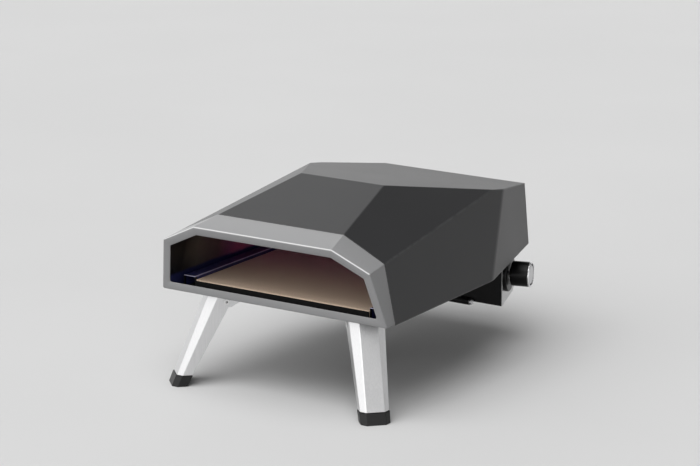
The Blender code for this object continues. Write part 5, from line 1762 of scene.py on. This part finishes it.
@dataclass
class ControlBox:
    """The folded box under the rear, its side plates, the gas inlet, and the screws of the back panel."""

    rim: float = 0.0005
    screw_radius: float = 0.0034
    screw_head: float = 0.002
    screw_lift: float = 0.0003
    screw_steps: int = 96
    fine_rings: int = 26
    coarse_rings: int = 9
    screw_count: int = 4
    dome_share: float = 0.75
    cross_width: float = 0.0009
    cross_length: float = 0.0022
    cross_depth: float = 0.0009
    fine_share: float = 1.15
    coarse_share: float = 1.25

    def build(self, dresser: Dresser, facets: BodyFacets) -> None:
        """Build and dress the box, the gas train, the chamber's sheets and the screws.

        Args:
            dresser: puts the finish on each piece.
            facets: the body's outer planes.
        """
        dresser.dress_copies(self.rim, "control_box", "control_side_right", "control_side_left", "gas_valve")
        dresser.dress_copies(0.0, "gas_inlet", "gas_jet", "venturi_tube", "burner_tube", "spark_electrode",
                             "flame_probe", "spark_lead", "flame_probe_lead", "valve_plug")
        dresser.dress_copies(self.rim / 2, "burner_cradle_left", "burner_cradle_right", "flame_guard",
                             "base_pan", "oven_liner")
        for index in range(self.screw_count):
            self.build_screw("back_screw_{}".format(index + 1), facets[Facet.BACK], dresser)

    def build_screw(self, node: str, plane: Plane, dresser: Dresser) -> None:
        """A pan-head screw with a cross recess.

        Formula: over a polar grid, the head's height is a low dome less the recess depth where the place
        lies within half the cross's width of either arm and within its length.

        Args:
            node: the node's name.
            plane: the panel's outer plane.
            dresser: puts the finish on each piece.
        """
        low, high = box_corners(node)
        outer = plane.nearest((low + high) / 2)
        place = Placement.about(outer + plane.normal * self.screw_lift, plane.normal)
        radius = np.concatenate([
            np.linspace(0, self.cross_length * self.fine_share, self.fine_rings),
            np.linspace(self.cross_length * self.coarse_share, self.screw_radius, self.coarse_rings)])
        angle = np.linspace(0, 2 * math.pi, self.screw_steps, endpoint=False)
        r, a = np.meshgrid(radius, angle, indexing="ij")
        x, y = r * np.cos(a), r * np.sin(a)
        dome = self.screw_head * np.sqrt(np.clip(1 - self.dome_share * (r / self.screw_radius) ** 2, 0, 1))
        beside, along = np.minimum(np.abs(x), np.abs(y)), np.maximum(np.abs(x), np.abs(y))
        arms = (beside < self.cross_width / 2) & (along < self.cross_length)
        top = np.stack([x, y, dome - self.cross_depth * arms], axis=-1)
        rim = self.screw_radius * np.stack([np.cos(angle), np.sin(angle), np.zeros(self.screw_steps)], -1)
        points = np.concatenate([top, rim[None]])
        rows, columns = points.shape[:2]
        cap = [(rows - 1) * columns + column for column in range(columns)]
        faces = grid_quads(rows, columns, False, True) + [cap]
        dresser.dress(make_piece("fine_" + node, place.world(points), faces), node)


@dataclass(frozen=True)
class Lamp:
    """A far lamp: the way to it from the oven, how wide it looks from there, and its light on a surface
    that faces it, in watts per square metre."""

    name: str
    way: tuple[float, float, float]
    spread: float
    power: float

    def build(self) -> None:
        """Add the lamp to the scene."""
        data = bpy.data.lights.new(self.name, "SUN")
        data.angle = self.spread
        data.energy = self.power
        lamp = bpy.data.objects.new(self.name, data)
        lamp.rotation_euler = (-Vector(self.way)).to_track_quat("-Z", "Y").to_euler()
        bpy.context.scene.collection.objects.link(lamp)


LAMPS = (Lamp("key", (0.0, -0.30, 0.954), math.radians(60), 1.6),
         Lamp("front", (-0.14, -0.87, 0.47), math.radians(100), 2.25),
         Lamp("rear", (-0.80, 0.45, 0.40), math.radians(60), 0.4))


@dataclass
class Studio:
    """Floor, lamps, world and camera. A pair of numbers named for a way is where a darker part of the
    backdrop begins and is full, as a coordinate of the ray's direction."""

    camera_place: tuple[float, float, float] = (2.167, -3.372, 1.238)
    camera_turn: float = math.radians(33.06)
    camera_pitch: float = math.radians(14.46)
    focal_pixels: float = 2710.0
    picture_width: float = 700.0
    sensor: float = 36.0
    floor_reach: float = 30.0
    floor_colour: tuple[float, float, float, float] = (0.72, 0.72, 0.72, 1.0)
    floor_cloud: tuple[float, float, float, float] = (0.705, 0.705, 0.705, 1.0)
    floor_bounce: tuple[float, float, float, float] = (0.28, 0.28, 0.28, 1.0)
    floor_roughness: float = 0.9
    floor_specular: float = 0.1
    pale: float = 0.80
    backdrop: float = 1.0
    ceiling: float = 0.12
    ambient: float = 0.08
    right_share: float = 0.45
    front_share: float = 0.72
    front_left_share: float = 0.35
    upward: tuple[float, float] = (0.28, 0.62)
    right: tuple[float, float] = (-0.6, 0.7)
    behind: tuple[float, float] = (-0.2, 0.4)
    left: tuple[float, float] = (0.3, -0.4)
    ahead: tuple[float, float] = (0.0, -0.5)
    front: tuple[float, float] = (-0.1, -0.4)

    def build(self) -> None:
        """Set up the picture."""
        self.build_camera()
        self.build_floor()
        self.build_world()
        for lamp in LAMPS:
            lamp.build()
        bpy.context.scene.view_settings.view_transform = "Standard"

    def build_camera(self) -> None:
        """The camera at the photograph's place, with its angle of view."""
        data = bpy.data.cameras.new("photo camera")
        data.sensor_width = self.sensor
        data.lens = self.focal_pixels / self.picture_width * self.sensor
        data.clip_end = 2 * self.floor_reach
        camera = bpy.data.objects.new("photo camera", data)
        camera.location = self.camera_place
        camera.rotation_euler = (math.pi / 2 - self.camera_pitch, 0.0, self.camera_turn)
        bpy.context.scene.collection.objects.link(camera)
        bpy.context.scene.camera = camera

    def build_floor(self) -> None:
        """A plain floor: pale to the camera and in reflections, darker for the light that it sends up."""
        corners = self.floor_reach * np.array(((-1, -1, 0.0), (1, -1, 0.0), (1, 1, 0.0), (-1, 1, 0.0)))
        floor = make_piece("floor", corners, [[0, 1, 2, 3]], closed=False)
        material = bpy.data.materials.new("pale floor")
        material.use_nodes = True
        nodes = Nodes(material.node_tree)
        cloud = nodes.span(nodes.noise(nodes.place(), scale=1.5), low=0.3, high=0.7)
        path = nodes.add("ShaderNodeLightPath")
        seen = nodes.math("MAXIMUM", path.outputs["Is Camera Ray"], nodes.mirrored_ray(path))
        shown = nodes.mix(cloud, self.floor_colour, self.floor_cloud)
        nodes.feed(material.node_tree.nodes["Principled BSDF"], {
            "Base Color": nodes.mix(seen, self.floor_bounce, shown), "Roughness": self.floor_roughness,
            "Specular IOR Level": self.floor_specular})
        floor.data.materials.append(material)

    def build_world(self) -> None:
        """A pale backdrop for the camera, one with darker parts for reflections, and a dim light elsewhere.

        Formula: a reflection sees the backdrop fade to the ceiling with height, dimmed to a share behind on
        the right, to a share all over the front, and further on the front left, where the front lamp is.
        """
        world = bpy.data.worlds.new("studio")
        world.use_nodes = True
        bpy.context.scene.world = world
        nodes = Nodes(world.node_tree)
        path = nodes.add("ShaderNodeLightPath")
        way = nodes.parts(nodes.add("ShaderNodeTexCoord").outputs["Generated"])
        shown = nodes.span(way["Z"], *self.upward, self.backdrop, self.ceiling)
        behind_right = nodes.times(nodes.span(way["X"], *self.right), nodes.span(way["Y"], *self.behind))
        front_left = nodes.times(nodes.span(way["X"], *self.left), nodes.span(way["Y"], *self.ahead))
        for mask, share in ((behind_right, self.right_share), (front_left, self.front_left_share),
                            (nodes.span(way["Y"], *self.front), self.front_share)):
            shown = nodes.times(shown, nodes.span(mask, 0.0, 1.0, 1.0, share, "LINEAR"))
        strength = nodes.span(nodes.mirrored_ray(path), 0.0, 1.0, self.ambient, shown, "LINEAR")
        strength = nodes.span(path.outputs["Is Camera Ray"], 0.0, 1.0, strength, self.pale, "LINEAR")
        nodes.feed(world.node_tree.nodes["Background"], {"Color": WHITE, "Strength": strength})


def leg_kits() -> Iterable[LegKit]:
    """The three legs, with their outline sizes.

    Returns:
        One kit for each leg.
    """
    front = dict(web=0.0280, hinge_chamfer=0.0175, foot_chamfer=0.0108, hinge_flange=0.0250,
                 foot_flange=0.0150, pin_to_web=0.0300, lean=math.radians(21.9))
    rear = dict(web=0.0150, hinge_chamfer=0.0110, foot_chamfer=0.0075, hinge_flange=0.0200,
                foot_flange=0.0140, pin_to_web=0.0205, lean=0.0, bend=0.0022)
    for name, sizes in (("front_left", front), ("front_right", front), ("rear", rear)):
        yield LegKit(name, name + "_leg_fold", **sizes)


def main() -> None:
    """Load the frame, build each sub-assembly, and set up the picture."""
    logging.basicConfig(level=logging.INFO, format="%(message)s")
    for thing in list(bpy.data.objects):
        bpy.data.objects.remove(thing, do_unlink=True)
    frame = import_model()
    dresser = Dresser(frame, Effects())
    nodes = frame["nodes"]
    facets = BodyFacets(nodes["outer_shell"], nodes["front_fascia"], nodes["rear_panel"])
    BodySheets().build(facets, dresser)
    StoneBed().build(dresser)
    ControlBox().build(dresser, facets)
    KnobKit().build(dresser, frame["joints"])
    for kit in leg_kits():
        kit.find_place(frame["joints"])
        kit.build(dresser)
    dresser.dress_rest()
    Studio().build()


if __name__ == "__main__":
    main()
